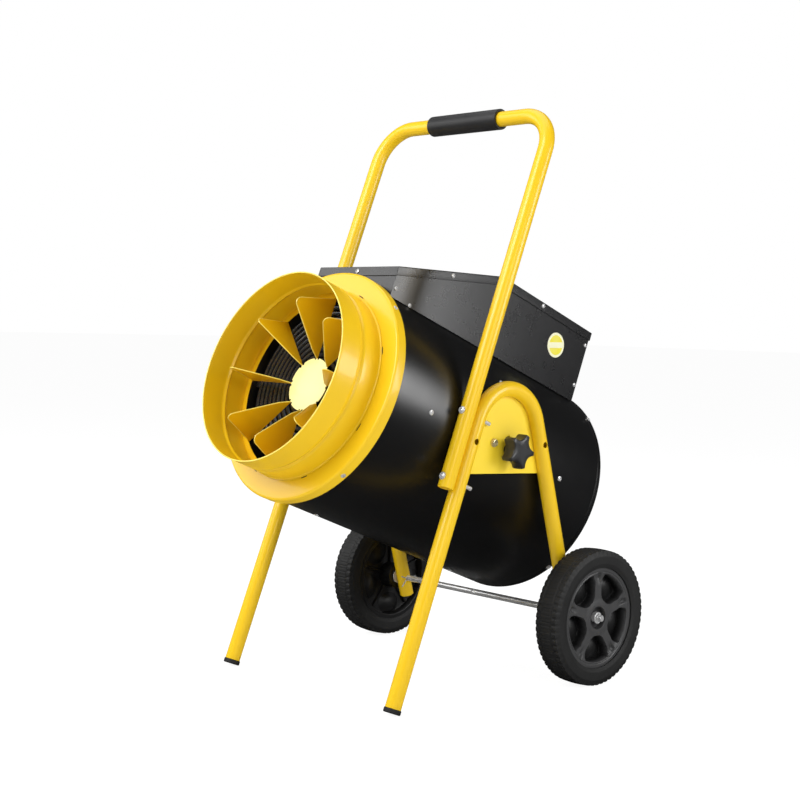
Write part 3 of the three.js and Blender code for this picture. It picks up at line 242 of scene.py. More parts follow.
def smooth(low, high, value):
    """0 up to low, 1 from high on, and 3t squared less 2t cubed between them."""
    t = np.clip((value - low) / (high - low), 0, 1)
    return t * t * (3 - 2 * t)


def full_turn(count):
    """A row of angles, evenly spaced round a full turn."""
    return np.linspace(0, FULL_TURN, count, endpoint=False)[None, :]


def grid(points, wrap_rows=False, wrap_cols=False):
    """Quads between each point of a grid and its neighbours one row and one column on."""
    rows, cols = points.shape[:2]
    index = np.arange(rows * cols).reshape(rows, cols)
    if wrap_rows:
        index = np.vstack((index, index[:1]))
    if wrap_cols:
        index = np.hstack((index, index[:, :1]))
    quads = np.stack((index[:-1, :-1], index[:-1, 1:], index[1:, 1:], index[1:, :-1]), -1)
    return points.reshape(-1, 3), [quads.reshape(-1, 4)]


def joined(*surfaces):
    """Several surfaces as one list of points and one of faces."""
    points, faces, count = [], [], 0
    for part_points, part_faces in surfaces:
        points.append(part_points)
        faces += [block + count for block in part_faces]
        count += len(part_points)
    return np.vstack(points), faces


def rounded(corners, radius, steps=4, closed=True, share=0.45):
    """A line through corners, each replaced by an arc that touches both of its sides.

    An arc takes at most the given share of either side.
    """
    corners = np.asarray(corners, float)
    count = len(corners)
    radii = np.broadcast_to(radius, (count,))
    line = []
    for i, corner in enumerate(corners):
        if not closed and i in (0, count - 1):
            line.append(corner[None])
            continue
        before, after = corners[i - 1] - corner, corners[(i + 1) % count] - corner
        reach_a, reach_b = np.linalg.norm(before), np.linalg.norm(after)
        before, after = before / reach_a, after / reach_b
        half = math.acos(float(np.clip(before @ after, -1, 1))) / 2
        if radii[i] <= 0 or half > math.radians(88) or half < 1e-3:
            line.append(corner[None])
            continue
        cut = min(radii[i] / math.tan(half), share * reach_a, share * reach_b)
        arc_r = cut * math.tan(half)
        middle = corner + unit(before + after) * arc_r / math.sin(half)
        start, end = corner + before * cut - middle, corner + after * cut - middle
        turn = math.pi - 2 * half
        t = np.linspace(0, turn, steps + 1)[:, None]
        line.append(middle + (start * np.sin(turn - t) + end * np.sin(t)) / math.sin(turn))
    return np.vstack(line)


def turned(profile, place, segments=160):
    """A closed profile of (radius, distance) pairs, turned once about an axis.

    place(radius, distance, angle) says where the point goes.
    """
    profile = np.asarray(profile, float)
    points = place(profile[:, :1], profile[:, 1:], full_turn(segments))
    return grid(points, wrap_rows=True, wrap_cols=True)


def axis_place(origin, way):
    """Places a turned profile about the line through origin along way."""
    way = unit(np.asarray(way, float))
    helper = ACROSS if abs(way[0]) < 0.9 else np.array((0.0, 0.0, 1.0))
    right = unit(np.cross(way, helper))
    up = np.cross(right, way)

    def place(radius, distance, angle):
        radius, distance, angle = np.broadcast_arrays(radius, distance, angle)
        radial = np.cos(angle)[..., None] * right + np.sin(angle)[..., None] * up
        return origin + distance[..., None] * way + radius[..., None] * radial

    return place


def path_ways(path):
    """At each point of a path, the mean direction of the stretches before and after it."""
    steps = unit(np.diff(path, axis=0))
    return unit(np.vstack((steps[:1], steps[:-1] + steps[1:], steps[-1:])))


def path_rings(path, normal, sides):
    """At each point of a flat path, a circle of radius 1 that is square to it."""
    ways = path_ways(path)
    across = unit(np.cross(normal, ways))
    above = np.cross(ways, across)
    angle = full_turn(sides)[..., None]
    return np.cos(angle) * across[:, None] + np.sin(angle) * above[:, None]


def pipe(path, radius, bore, normal, sides=40):
    """A tube along a flat path: the outer circle carried out and the bore's circle carried back,
    with a rounded edge at both ends."""
    rings = path_rings(path, normal, sides)
    ways = path_ways(path)
    wall = radius - bore
    turn = np.linspace(0, math.pi, 7)[1:-1]
    blocks = [path[:, None] + radius * rings]
    for end, sign in ((-1, 1), (0, -1)):
        around = radius - wall / 2 + sign * wall / 2 * np.cos(turn)
        lift = np.sin(turn) * wall / 2
        along = path[end] + sign * np.outer(lift, ways[end])
        blocks.append(along[:, None] + around[:, None, None] * rings[end][None])
        if end == -1:
            blocks.append((path[:, None] + bore * rings)[::-1])
    return grid(np.concatenate(blocks), wrap_rows=True, wrap_cols=True)


def carried(path, radius, normal, sides=40):
    """A circle carried along a flat path, square to it, and closed flat at both ends.

    normal is square to the path's plane. Each end has a rounded edge.
    """
    body = np.broadcast_to(radius, (len(path),))
    rings = path_rings(path, normal, sides)
    ways = path_ways(path)
    edge = 0.5
    turn = np.linspace(0, math.pi / 2, 4)[1:]
    blocks = []
    for end, sign in ((0, -1), (-1, 1)):
        along = path[end] + sign * np.outer(edge * np.append(np.sin(turn), 1.0), ways[end])
        around = np.append(body[end] - edge * (1 - np.cos(turn)), 0.0)
        blocks.append(along[:, None] + around[:, None, None] * rings[end][None])
    middle = path[:, None] + body[:, None, None] * rings
    return grid(np.concatenate((blocks[0][::-1], middle, blocks[1])), wrap_cols=True)


def slab(outline, place, thickness, holes=()):
    """A flat outline with holes, and the same outline moved by the thickness, joined by walls.

    place(u, v, w) says where a point goes: u and v in the outline's plane and w square to it.
    """
    loops = [np.asarray(loop, float) for loop in (outline, *holes)]
    flat = np.vstack(loops)
    starts = np.cumsum([0] + [len(loop) for loop in loops])
    rows = [np.arange(start, end) for start, end in zip(starts, starts[1:])]
    edge = np.vstack([np.column_stack((row, np.roll(row, -1))) for row in rows])
    inside_only, merge = 1, 1e-6
    made = delaunay_2d_cdt([Vector(point) for point in flat], edge.tolist(), [rows[0].tolist()], inside_only,
                           merge)
    triangles = np.array(made[2])
    for hole in loops[1:]:
        triangles = triangles[~inside(flat[triangles].mean(1), hole)]
    count = len(flat)
    near = place(flat[:, 0], flat[:, 1], np.zeros(count))
    far = place(flat[:, 0], flat[:, 1], np.full(count, thickness))
    walls = np.stack((edge[:, 0], edge[:, 1], edge[:, 1] + count, edge[:, 0] + count), -1)
    return np.vstack((near, far)), [triangles, triangles[:, ::-1] + count, walls]


def inside(points, loop):
    """True where a ray from the point crosses the loop an odd number of times."""
    nxt = np.roll(loop, -1, axis=0)
    px, py = points[:, :1], points[:, 1:]
    crosses = (loop[:, 1] > py) != (nxt[:, 1] > py)
    with np.errstate(divide="ignore", invalid="ignore"):
        at = loop[:, 0] + (py - loop[:, 1]) * (nxt[:, 0] - loop[:, 0]) / (nxt[:, 1] - loop[:, 1])
    return (crosses & (px < at)).sum(1) % 2 == 1


def circle(radius, centre=(0.0, 0.0), count=48):
    """Points round a circle: the radius by the angle's cosine and sine, from the centre."""
    angle = full_turn(count)[0]
    return np.stack((centre[0] + radius * np.cos(angle), centre[1] + radius * np.sin(angle)), -1)


def surface_mesh(name, surface):
    """A mesh in metres of a surface's points and faces, with its faces turned outwards."""
    points, faces = surface
    mesh = bpy.data.meshes.new(name)
    faces = [block for block in faces if len(block)]
    loops = np.hstack([block.ravel() for block in faces])
    totals = np.hstack([np.full(len(block), block.shape[1]) for block in faces])
    starts = np.hstack((0, np.cumsum(totals)[:-1]))
    mesh.vertices.add(len(points))
    mesh.vertices.foreach_set("co", (points * MM).ravel())
    mesh.loops.add(len(loops))
    mesh.loops.foreach_set("vertex_index", loops.astype(np.int32))
    mesh.polygons.add(len(totals))
    mesh.polygons.foreach_set("loop_start", starts.astype(np.int32))
    mesh.update(calc_edges=True)
    mesh.validate()
    merged = bmesh.new()
    merged.from_mesh(mesh)
    bmesh.ops.remove_doubles(merged, verts=merged.verts, dist=MERGE)
    bmesh.ops.recalc_face_normals(merged, faces=merged.faces)
    merged.to_mesh(mesh)
    merged.free()
    return mesh


def smoothed(mesh, sharp):
    """Shades a mesh smooth, and keeps its edges over an angle sharp."""
    mesh.shade_smooth()
    mesh.set_sharp_from_angle(angle=math.radians(sharp))


def scene_object(name, data):
    """An object of a mesh, a lamp or a camera, put in the scene."""
    made = bpy.data.objects.new(name, data)
    bpy.context.scene.collection.objects.link(made)
    return made


def piece(name, surface, material, body, replaces=(), bevel=0.0, sharp=SHARP):
    """A surface as a piece of a body: smooth, in its finish and slot, in the place of the solids
    that it replaces, and with its edges rounded where a bevel's width is given."""
    mesh = surface_mesh(name, surface)
    smoothed(mesh, sharp)
    made = scene_object(name, mesh)
    mesh.materials.append(material)
    if bevel:
        edges = made.modifiers.new("edges", "BEVEL")
        edges.width = bevel * MM
        edges.segments = 2
        edges.limit_method = "ANGLE"
        edges.angle_limit = math.radians(40)
        edges.harden_normals = True
    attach(made, body)
    if replaces:
        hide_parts(*replaces)
    return made


def drilled(made, drills):
    """Takes each drill, a closed surface, out of a piece, and keeps the piece smooth."""
    for surface in drills:
        drill = scene_object("drill", surface_mesh("drill", surface))
        cut = made.modifiers.new("cut", "BOOLEAN")
        cut.operation = "DIFFERENCE"
        cut.solver = "EXACT"
        cut.object = drill
        bpy.context.view_layer.update()
        view = made.evaluated_get(bpy.context.evaluated_depsgraph_get())
        result = bpy.data.meshes.new_from_object(view)
        made.modifiers.remove(cut)
        spent = (made.data, drill.data)
        made.data = result
        bpy.data.objects.remove(drill)
        for mesh in spent:
            bpy.data.meshes.remove(mesh)
    smoothed(made.data, SHARP)


def rod(start, end, radius, sides=24):
    """A plain round bar with flat ends."""
    length = float(np.linalg.norm(np.subtract(end, start)))
    profile = [(0, 0), (radius, 0), (radius, length), (0, length)]
    return turned(profile, axis_place(np.asarray(start, float), np.subtract(end, start)), sides)


# ---------------------------------------------------------------- shader groups

VECTOR, COLOUR, NUMBER = "NodeSocketVector", "NodeSocketColor", "NodeSocketFloat"
WHITE = (1.0, 1.0, 1.0, 1.0)


def group(name, inputs, outputs):
    """A node group with named sockets; inputs are (name, kind, default)."""
    tree = bpy.data.node_groups.new(name, "ShaderNodeTree")
    for label, kind, default in inputs:
        socket = tree.interface.new_socket(name=label, in_out="INPUT", socket_type=kind)
        if default is not None:
            socket.default_value = default
    for label, kind in outputs:
        tree.interface.new_socket(name=label, in_out="OUTPUT", socket_type=kind)
    return tree, tree.nodes.new("NodeGroupInput").outputs, tree.nodes.new("NodeGroupOutput").inputs


def node(tree, kind, inputs=None, **settings):
    """A node with its settings, and a value or a link for each input named."""
    made = tree.nodes.new(kind)
    for key, value in settings.items():
        setattr(made, key, value)
    for key, value in (inputs or {}).items():
        if isinstance(value, bpy.types.NodeSocket):
            tree.links.new(value, made.inputs[key])
        else:
            made.inputs[key].default_value = value
    return made


def maths(tree, operation, first, second=0.0):
    """One operation on two numbers."""
    return node(tree, "ShaderNodeMath", {0: first, 1: second}, operation=operation).outputs[0]


def vector_maths(tree, operation, first, second):
    """One operation on two vectors."""
    return node(tree, "ShaderNodeVectorMath", {0: first, 1: second}, operation=operation).outputs


def ramp(tree, value, low, high, start=0.0, end=1.0):
    """The value's run from low to high, laid out from start to end and held outside it."""
    return node(tree, "ShaderNodeMapRange", {"Value": value, 1: low, 2: high, 3: start, 4: end}).outputs[0]


def mix(tree, factor, first, second, blend="MIX"):
    """The first colour, blended with the second by the factor."""
    made = node(tree, "ShaderNodeMix", {0: factor, 6: first, 7: second}, data_type="RGBA", blend_type=blend)
    return made.outputs[2]


def noise(tree, vector, scale, detail=3.0, roughness=0.5):
    """Noise between 0 and 1."""
    given = {"Vector": vector, "Scale": scale, "Detail": detail, "Roughness": roughness}
    return node(tree, "ShaderNodeTexNoise", given).outputs["Fac"]


def about_middle(tree, value, spread):
    """The value less its middle of a half, times the spread."""
    return maths(tree, "MULTIPLY", maths(tree, "SUBTRACT", value, 0.5), spread)


def mottle_group():
    """Slow colour drift, with a finer drift in roughness.

    Broad noise, spread to run from 0 to 1, mixes Tone into Base by Amount. Finer noise, less its
    middle, times Spread, is added to Rough.
    """
    tree, given, out = group(
        "slow_mottle",
        [("Vector", VECTOR, None), ("Base", COLOUR, WHITE), ("Tone", COLOUR, WHITE), ("Amount", NUMBER, 0.5),
         ("Scale", NUMBER, 8.0), ("Rough", NUMBER, 0.4), ("Spread", NUMBER, 0.1)],
        [("Color", COLOUR), ("Roughness", NUMBER)])
    broad = noise(tree, given["Vector"], given["Scale"], 4.0, 0.55)
    share = maths(tree, "MULTIPLY", ramp(tree, broad, 0.35, 0.65), given["Amount"])
    fine = noise(tree, given["Vector"], maths(tree, "MULTIPLY", given["Scale"], 6.0), 3.0, 0.6)
    drift = about_middle(tree, fine, given["Spread"])
    tree.links.new(mix(tree, share, given["Base"], given["Tone"]), out["Color"])
    tree.links.new(maths(tree, "ADD", given["Rough"], drift), out["Roughness"])
    return tree


def grain_group():
    """Fine relief: two sizes of noise added together, the second at a third of the first's height."""
    tree, given, out = group(
        "fine_grain", [("Vector", VECTOR, None), ("Scale", NUMBER, 400.0)], [("Height", NUMBER)])
    coarse = noise(tree, given["Vector"], given["Scale"], 2.0, 0.5)
    fine = noise(tree, given["Vector"], maths(tree, "MULTIPLY", given["Scale"], 3.7), 2.0, 0.5)
    tree.links.new(maths(tree, "ADD", coarse, maths(tree, "MULTIPLY", fine, 0.33)), out["Height"])
    return tree


def scuff_group():
    """Sparse thin marks: noise pulled out along one way, kept only near its peaks and inside
    broad patches, by Amount."""
    tree, given, out = group(
        "thin_scuffs", [("Vector", VECTOR, None), ("Amount", NUMBER, 0.3), ("Scale", NUMBER, 30.0)],
        [("Mask", NUMBER)])
    pull = {"Vector": given["Vector"], "Rotation": (0.5, 0.9, 0.3), "Scale": (1.0, 9.0, 9.0)}
    lines = noise(tree, node(tree, "ShaderNodeMapping", pull).outputs[0], given["Scale"], 2.0, 0.4)
    patches = noise(tree, given["Vector"], 14.0, 2.0, 0.5)
    kept = maths(tree, "MULTIPLY", ramp(tree, lines, 0.68, 0.76), ramp(tree, patches, 0.5, 0.65))
    tree.links.new(maths(tree, "MULTIPLY", kept, given["Amount"]), out["Mask"])
    return tree


def drawn_group():
    """Drawn lines: noise pulled out along one axis, as relief and as a drift in roughness."""
    tree, given, out = group(
        "drawn_lines",
        [("Vector", VECTOR, None), ("Stretch", VECTOR, None), ("Rough", NUMBER, 0.3),
         ("Spread", NUMBER, 0.2)],
        [("Height", NUMBER), ("Roughness", NUMBER)])
    pulled = vector_maths(tree, "MULTIPLY", given["Vector"], given["Stretch"])[0]
    lines = noise(tree, pulled, 1.0, 3.0, 0.6)
    drift = about_middle(tree, lines, given["Spread"])
    tree.links.new(lines, out["Height"])
    tree.links.new(maths(tree, "ADD", given["Rough"], drift), out["Roughness"])
    return tree


MOTTLE, GRAIN, SCUFFS, DRAWN = mottle_group(), grain_group(), scuff_group(), drawn_group()


def placed(tree, shared, inputs):
    """A shared group in a material, with its own values."""
    return node(tree, "ShaderNodeGroup", inputs, node_tree=shared).outputs


def new_material(name):
    """A material, its tree, its shader and the piece's own coordinates."""
    made = bpy.data.materials.new(name)
    made.use_nodes = True
    tree = made.node_tree
    return made, tree, tree.nodes["Principled BSDF"], node(tree, "ShaderNodeTexCoord").outputs["Object"]


def opaque(colour):
    """A colour with a full alpha."""
    return (*colour, 1.0)


def painted(tree, shader, colour, roughness):
    """Feeds the shader's colour and roughness."""
    tree.links.new(colour, shader.inputs["Base Color"])
    tree.links.new(roughness, shader.inputs["Roughness"])


def relief(tree, shader, height, strength, distance):
    """Feeds the shader's normal from a height, of a distance in millimetres."""
    bump = node(tree, "ShaderNodeBump", {"Height": height, "Strength": strength, "Distance": distance * MM})
    tree.links.new(bump.outputs[0], shader.inputs["Normal"])


# ---------------------------------------------------------------- finishes


def finish(name, base, tone, rough, amount=0.5, scale=8.0, spread=0.1, grain=600.0, depth=0.02, strength=0.3,
           metallic=0.0, coat=0.0, coat_rough=0.1, specular=0.5, sheen=0.0, scuffs=0.0, scuff_tone=None):
    """A finish: mottled colour and roughness, fine relief, and a few scuffs of another tone."""
    made, tree, shader, where = new_material(name)
    mottle = placed(tree, MOTTLE, {"Vector": where, "Base": opaque(base), "Tone": opaque(tone),
                                   "Amount": amount, "Scale": scale, "Rough": rough, "Spread": spread})
    colour = mottle["Color"]
    if scuffs:
        marks = placed(tree, SCUFFS, {"Vector": where, "Amount": scuffs})["Mask"]
        colour = mix(tree, marks, colour, opaque(scuff_tone))
    painted(tree, shader, colour, mottle["Roughness"])
    relief(tree, shader, placed(tree, GRAIN, {"Vector": where, "Scale": grain})["Height"], strength, depth)
    shader.inputs["Metallic"].default_value = metallic
    shader.inputs["Coat Weight"].default_value = coat
    shader.inputs["Coat Roughness"].default_value = coat_rough
    shader.inputs["Specular IOR Level"].default_value = specular
    shader.inputs["Sheen Weight"].default_value = sheen
    return made


def wheel_finish():
    """Moulded plastic with painted shade: its colour darkens with the depth below the wheel's outer face."""
    made = finish("wheel_plastic", (0.044, 0.044, 0.045), (0.056, 0.056, 0.057), 0.45, scale=18.0,
                  spread=0.12, grain=1100.0, depth=0.04, strength=0.35)
    tree = made.node_tree
    shader = tree.nodes["Principled BSDF"]
    where = node(tree, "ShaderNodeTexCoord").outputs["Object"]
    across = maths(tree, "ABSOLUTE", node(tree, "ShaderNodeSeparateXYZ", {0: where}).outputs[0])
    deep, shallow = (WHEEL_OUTER - 17.0) * MM, (WHEEL_OUTER - 7.0) * MM
    # painted shade: the base colour is multiplied down with the depth into the windows
    shade = ramp(tree, across, deep, shallow, 0.12, 1.0)
    grey = node(tree, "ShaderNodeCombineColor", {0: shade, 1: shade, 2: shade}).outputs[0]
    full = shader.inputs["Base Color"].links[0].from_socket
    tree.links.new(mix(tree, 1.0, full, grey, "MULTIPLY"), shader.inputs["Base Color"])
    return made


def sheath_finish():
    """The elements' dark sheath, with a bluish gloss."""
    made = finish("element_sheath", (0.022, 0.023, 0.027), (0.035, 0.036, 0.04), 0.24, scale=60.0,
                  spread=0.14, grain=900.0, depth=0.04, specular=1.0)
    shader = made.node_tree.nodes["Principled BSDF"]
    shader.inputs["Specular Tint"].default_value = (0.72, 0.86, 1.0, 1.0)
    return made


def drawn_steel():
    """Zinc-plated bar: drawn lines in its relief and roughness, and a slow drift in its colour."""
    made, tree, shader, where = new_material("zinc_steel")
    lines = placed(tree, DRAWN, {"Vector": where, "Stretch": (60.0, 900.0, 900.0), "Rough": 0.27,
                                 "Spread": 0.25})
    mottle = placed(tree, MOTTLE, {"Vector": where, "Base": opaque((0.80, 0.80, 0.80)),
                                   "Tone": opaque((0.60, 0.60, 0.60)), "Amount": 0.6, "Scale": 25.0})
    painted(tree, shader, mottle["Color"], lines["Roughness"])
    relief(tree, shader, lines["Height"], 0.4, 0.01)
    shader.inputs["Metallic"].default_value = 0.6
    return made


def lamp_lens_finish():
    """A deep clear red with a fine grain, under a clear coat."""
    made, tree, shader, where = new_material("lamp_lens")
    tone = placed(tree, MOTTLE, {"Vector": where, "Base": opaque((0.55, 0.01, 0.008)),
                                 "Tone": opaque((0.38, 0.006, 0.006)), "Amount": 0.7, "Scale": 90.0,
                                 "Rough": 0.14, "Spread": 0.08})
    painted(tree, shader, tone["Color"], tone["Roughness"])
    relief(tree, shader, placed(tree, GRAIN, {"Vector": where, "Scale": 700.0})["Height"], 0.3, 0.05)
    shader.inputs["Coat Weight"].default_value = 0.8
    return made


def label_finish(centre):
    """A plain round label: a pale rim and two yellow fields, split by a pale level band.

    The distance from the centre picks rim or field, and the height above it picks the band.
    """
    made, tree, shader, where = new_material("round_label")
    local = vector_maths(tree, "SUBTRACT", where, tuple(centre * MM))[0]
    squares = []
    for way in (OUTLET, UPWARD):
        along = vector_maths(tree, "DOT_PRODUCT", local, tuple(way))["Value"]
        squares.append(maths(tree, "MULTIPLY", along, along))
    reach = maths(tree, "SQRT", maths(tree, "ADD", *squares))
    height = node(tree, "ShaderNodeSeparateXYZ", {0: local}).outputs[2]
    field = maths(tree, "LESS_THAN", reach, FIELD_R * MM)
    off_band = maths(tree, "GREATER_THAN", maths(tree, "ABSOLUTE", height), BAND_HALF * MM)
    mask = maths(tree, "MULTIPLY", field, off_band)
    colour = mix(tree, mask, opaque((0.90, 0.89, 0.62)), opaque((0.86, 0.76, 0.05)))
    soft = placed(tree, MOTTLE, {"Vector": where, "Base": colour, "Tone": opaque((0.8, 0.78, 0.5)),
                                 "Amount": 0.15, "Scale": 60.0, "Rough": 0.3, "Spread": 0.1})
    painted(tree, shader, soft["Color"], soft["Roughness"])
    shader.inputs["Coat Weight"].default_value = 0.5
    return made


YELLOW = finish("yellow_gloss_paint", (0.87, 0.56, 0.008), (0.83, 0.51, 0.005), 0.36, scale=5.0, spread=0.06,
                grain=260.0, depth=0.05, strength=0.1, coat=0.28, coat_rough=0.12, specular=0.4, scuffs=0.12,
                scuff_tone=(0.62, 0.40, 0.03))
# painted light: a brighter, paler copy of the yellow paint for the plates' face, which catches the light
YELLOW_PLATE_LIT = finish("yellow_plate_painted_light", (0.94, 0.68, 0.030), (0.91, 0.64, 0.022), 0.38, scale=5.0,
                      spread=0.06, grain=260.0, depth=0.05, strength=0.1, coat=0.2, coat_rough=0.2,
                      specular=0.4, scuffs=0.1, scuff_tone=(0.62, 0.42, 0.04))
YELLOW_INSIDE = finish("yellow_sheet_paint", (0.90, 0.56, 0.006), (0.84, 0.49, 0.004), 0.38, scale=6.0,
                       spread=0.06, grain=260.0, depth=0.05, strength=0.12, coat=0.15, coat_rough=0.2,
                       specular=0.25)
# painted highlight: a paler yellow for thin edges that catch the light
EDGE_HIGHLIGHT_PAINT = finish("yellow_edge_highlight", (0.98, 0.80, 0.16), (0.95, 0.74, 0.1), 0.3, scale=30.0, spread=0.05,
                    coat=0.4)
# painted reflection: a pale cream for the yellow hub, where it reflects the light
HUB_HIGHLIGHT_PAINT = finish("hub_painted_reflection", (0.93, 0.86, 0.36), (0.90, 0.80, 0.28), 0.35, scale=12.0, coat=0.3)
BLACK = finish("black_satin_paint", (0.003, 0.003, 0.0034), (0.005, 0.005, 0.0055), 0.31, scale=6.0,
               spread=0.05, grain=420.0, depth=0.03, strength=0.1, specular=0.62, scuffs=0.1,
               scuff_tone=(0.03, 0.03, 0.03))
BOX_BLACK = finish("box_textured_paint", (0.008, 0.008, 0.009), (0.013, 0.013, 0.014), 0.28, scale=7.0,
                   spread=0.07, grain=900.0, depth=0.05, strength=0.25, specular=0.7, scuffs=0.2,
                   scuff_tone=(0.07, 0.07, 0.07))
RUBBER = finish("tyre_rubber", (0.009, 0.009, 0.009), (0.018, 0.018, 0.0175), 0.6, scale=14.0, spread=0.16,
                grain=500.0, depth=0.08, strength=0.4, specular=0.4, scuffs=0.4,
                scuff_tone=(0.045, 0.044, 0.042))
WHEEL_PLASTIC = wheel_finish()
KNOB_PLASTIC = finish("knob_plastic", (0.02, 0.02, 0.021), (0.032, 0.032, 0.033), 0.36, scale=40.0,
                      grain=1500.0, depth=0.03)
FOAM = finish("foam_sleeve", (0.010, 0.010, 0.011), (0.016, 0.016, 0.017), 0.46, scale=30.0, spread=0.12,
              grain=900.0, depth=0.12, strength=0.4, sheen=0.05)
ZINC = drawn_steel()
FASTENER = finish("fastener_zinc", (0.80, 0.80, 0.80), (0.6, 0.6, 0.61), 0.24, scale=120.0, spread=0.2,
                  grain=2500.0, depth=0.01, metallic=0.5)
PASSIVATED = finish("passivated_bolt", (0.80, 0.70, 0.42), (0.6, 0.53, 0.36), 0.28, scale=150.0, spread=0.2,
                    metallic=0.7)
GALVANISED = finish("galvanised_sheet", (0.34, 0.35, 0.36), (0.22, 0.23, 0.24), 0.42, scale=60.0, spread=0.3,
                    grain=800.0, metallic=0.85)
# near black, much darker than the galvanised sheet of the brackets
DARK_SHEET_FINISH = finish("near_black_sheet", (0.012, 0.012, 0.013), (0.03, 0.03, 0.031), 0.55, scale=50.0, spread=0.2,
                metallic=0.4)
SHEATH = sheath_finish()
CASTING = finish("motor_casting", (0.10, 0.105, 0.11), (0.14, 0.145, 0.15), 0.55, scale=40.0, spread=0.15,
                 grain=500.0, depth=0.15, strength=0.5, metallic=0.2)
# painted shade: a near-black patch colour that stands in for the shade inside slots
SLOT_PAINTED_SHADE = finish("slot_shadow", (0.02, 0.012, 0.004), (0.035, 0.02, 0.006), 0.8, scale=90.0)
WHITE_MARK = finish("dial_mark", (0.75, 0.75, 0.74), (0.62, 0.62, 0.61), 0.45, scale=200.0)
CREAM_PLASTIC = finish("switch_plastic", (0.62, 0.57, 0.46), (0.52, 0.47, 0.37), 0.5, scale=50.0)


# ---------------------------------------------------------------- small fasteners


def pan_screw(origin, way, radius, height, spin=0.3):
    """A domed head with a cross cut in it: the dome's height falls with the square of the radius.

    The cross is deepest where either of two square axes is near 0, inside 0.62 of the radius.
    """
    reach = np.linspace(0.02, 1, 9)[:, None]
    angle = full_turn(40)
    dome = height * (1 - 0.55 * reach**2)
    across_a = np.abs(reach * np.cos(angle + spin))
    across_b = np.abs(reach * np.sin(angle + spin))
    cross = smooth(0.17, 0.09, np.minimum(across_a, across_b)) * smooth(0.66, 0.52, reach)
    lift = dome - 0.75 * height * cross
    place = axis_place(np.asarray(origin, float), way)
    crown = place(0.0, np.full((1, 1), lift[:1].mean()), angle)
    top = place(reach * radius, lift, angle)
    skirt = place(radius, np.full((1, 1), -0.6), angle)
    foot = place(0.01, np.full((1, 1), -0.6), angle)
    return grid(np.vstack((crown, top, skirt, foot)), wrap_cols=True)


def threaded(origin, way, radius, length, pitch=1.0):
    """A threaded shank: the radius rises and falls once for each pitch."""
    turns = max(int(length / pitch), 1)
    distance = np.linspace(0, length, turns * 4 + 1)
    ridge = radius - 0.22 * np.abs(((distance / pitch) % 1) - 0.5) * 2
    profile = np.vstack(([(0, 0)], np.column_stack((ridge, distance)), [(0, length)]))
    return turned(profile, axis_place(np.asarray(origin, float), way), 20)


def hex_nut(origin, way, across, height, bore):
    """A six-sided nut: the outer radius is the hexagon's, cut down by a cone at both faces."""
    angle = full_turn(72)
    half = across / 2
    sector = (angle + math.pi / 6) % (math.pi / 3) - math.pi / 6
    level = np.array((0, 0.12, 0.3, 0.7, 0.88, 1.0))[:, None]
    cone = half * (1.02 + 0.55 * np.minimum(level, 1 - level))
    place = axis_place(np.asarray(origin, float), way)
    wall = place(np.minimum(half / np.cos(sector), cone), level * height, angle)
    hole = place(bore, np.array([[height], [0.0]]), angle)
    return grid(np.vstack((wall, hole)), wrap_rows=True, wrap_cols=True)


def flat_ring(bore, radius, near, far, edge):
    """The profile of a flat ring between two distances, its edges rounded."""
    return rounded([(bore, near), (radius, near), (radius, far), (bore, far)], edge)


# ---------------------------------------------------------------- trolley


def bent(corners, radius, steps=28):
    """A path through corners, each bend an arc of the radius."""
    return rounded(np.array(corners), radius, steps, closed=False)


def leg_point(distance, forward=0.0):
    """A point up the front leg's line from the floor, and forward of it."""
    return FOOT + LEG_UP * distance + LEG_FRONT * forward


def sole_start():
    """Where up the leg's line the cap's flat end starts, so that its low edge is pressed to the floor."""
    return (CAP_R * LEG_UP[0] - SOLE_TRIM) / LEG_UP[1]


def side_frames():
    """A tube carried up the front leg, over the arch and down the rear leg, drilled from its side."""
    apex = crossing(FOOT, LEG_UP, AXLE, REAR_UP)
    corners = (leg_point(sole_start() + CAP_BASE + GAP), apex, AXLE - REAR_UP * REAR_TAIL)
    holes = (leg_point(FRONT_HOLE), AXLE + REAR_UP * REAR_HOLE)
    for side, sign in SIDES:
        x = sign * FRAME_X
        path = bent([side_view(corner, x) for corner in corners], ARCH_R)
        surface = pipe(path, TUBE_R - WITHIN, TUBE_R - TUBE_WALL, ACROSS)
        made = piece(f"side_tube_{side}", surface, YELLOW, "trolley", [f"side_frame_{side}"])
        outside = x + sign * TUBE_R * 1.4
        drilled(made, [rod(side_view(hole, x), side_view(hole, outside), SIDE_HOLE_R, 32) for hole in holes])


def foot_caps():
    """A round cap about the leg's line; what would lie under the floor is pressed flat to it."""
    plug = TUBE_R - 2
    profile = rounded([(0, 0), (CAP_R, 0), (CAP_R, CAP_BASE - 1), (TUBE_R + 0.3, CAP_BASE), (plug, CAP_BASE),
                       (plug, CAP_BASE + CAP_PLUG), (0, CAP_BASE + CAP_PLUG)], [0, 1.6, 0.6, 0.4, 0, 0.5, 0])
    for side, sign in SIDES:
        origin = side_view(leg_point(sole_start()), sign * FRAME_X)
        points, faces = turned(profile, axis_place(origin, side_view(LEG_UP, 0)), 48)
        points[:, 2] = np.maximum(points[:, 2], 0)
        piece(f"foot_cap_shell_{side}", (points, faces), RUBBER, "trolley",
              [f"foot_cap_{side}"])


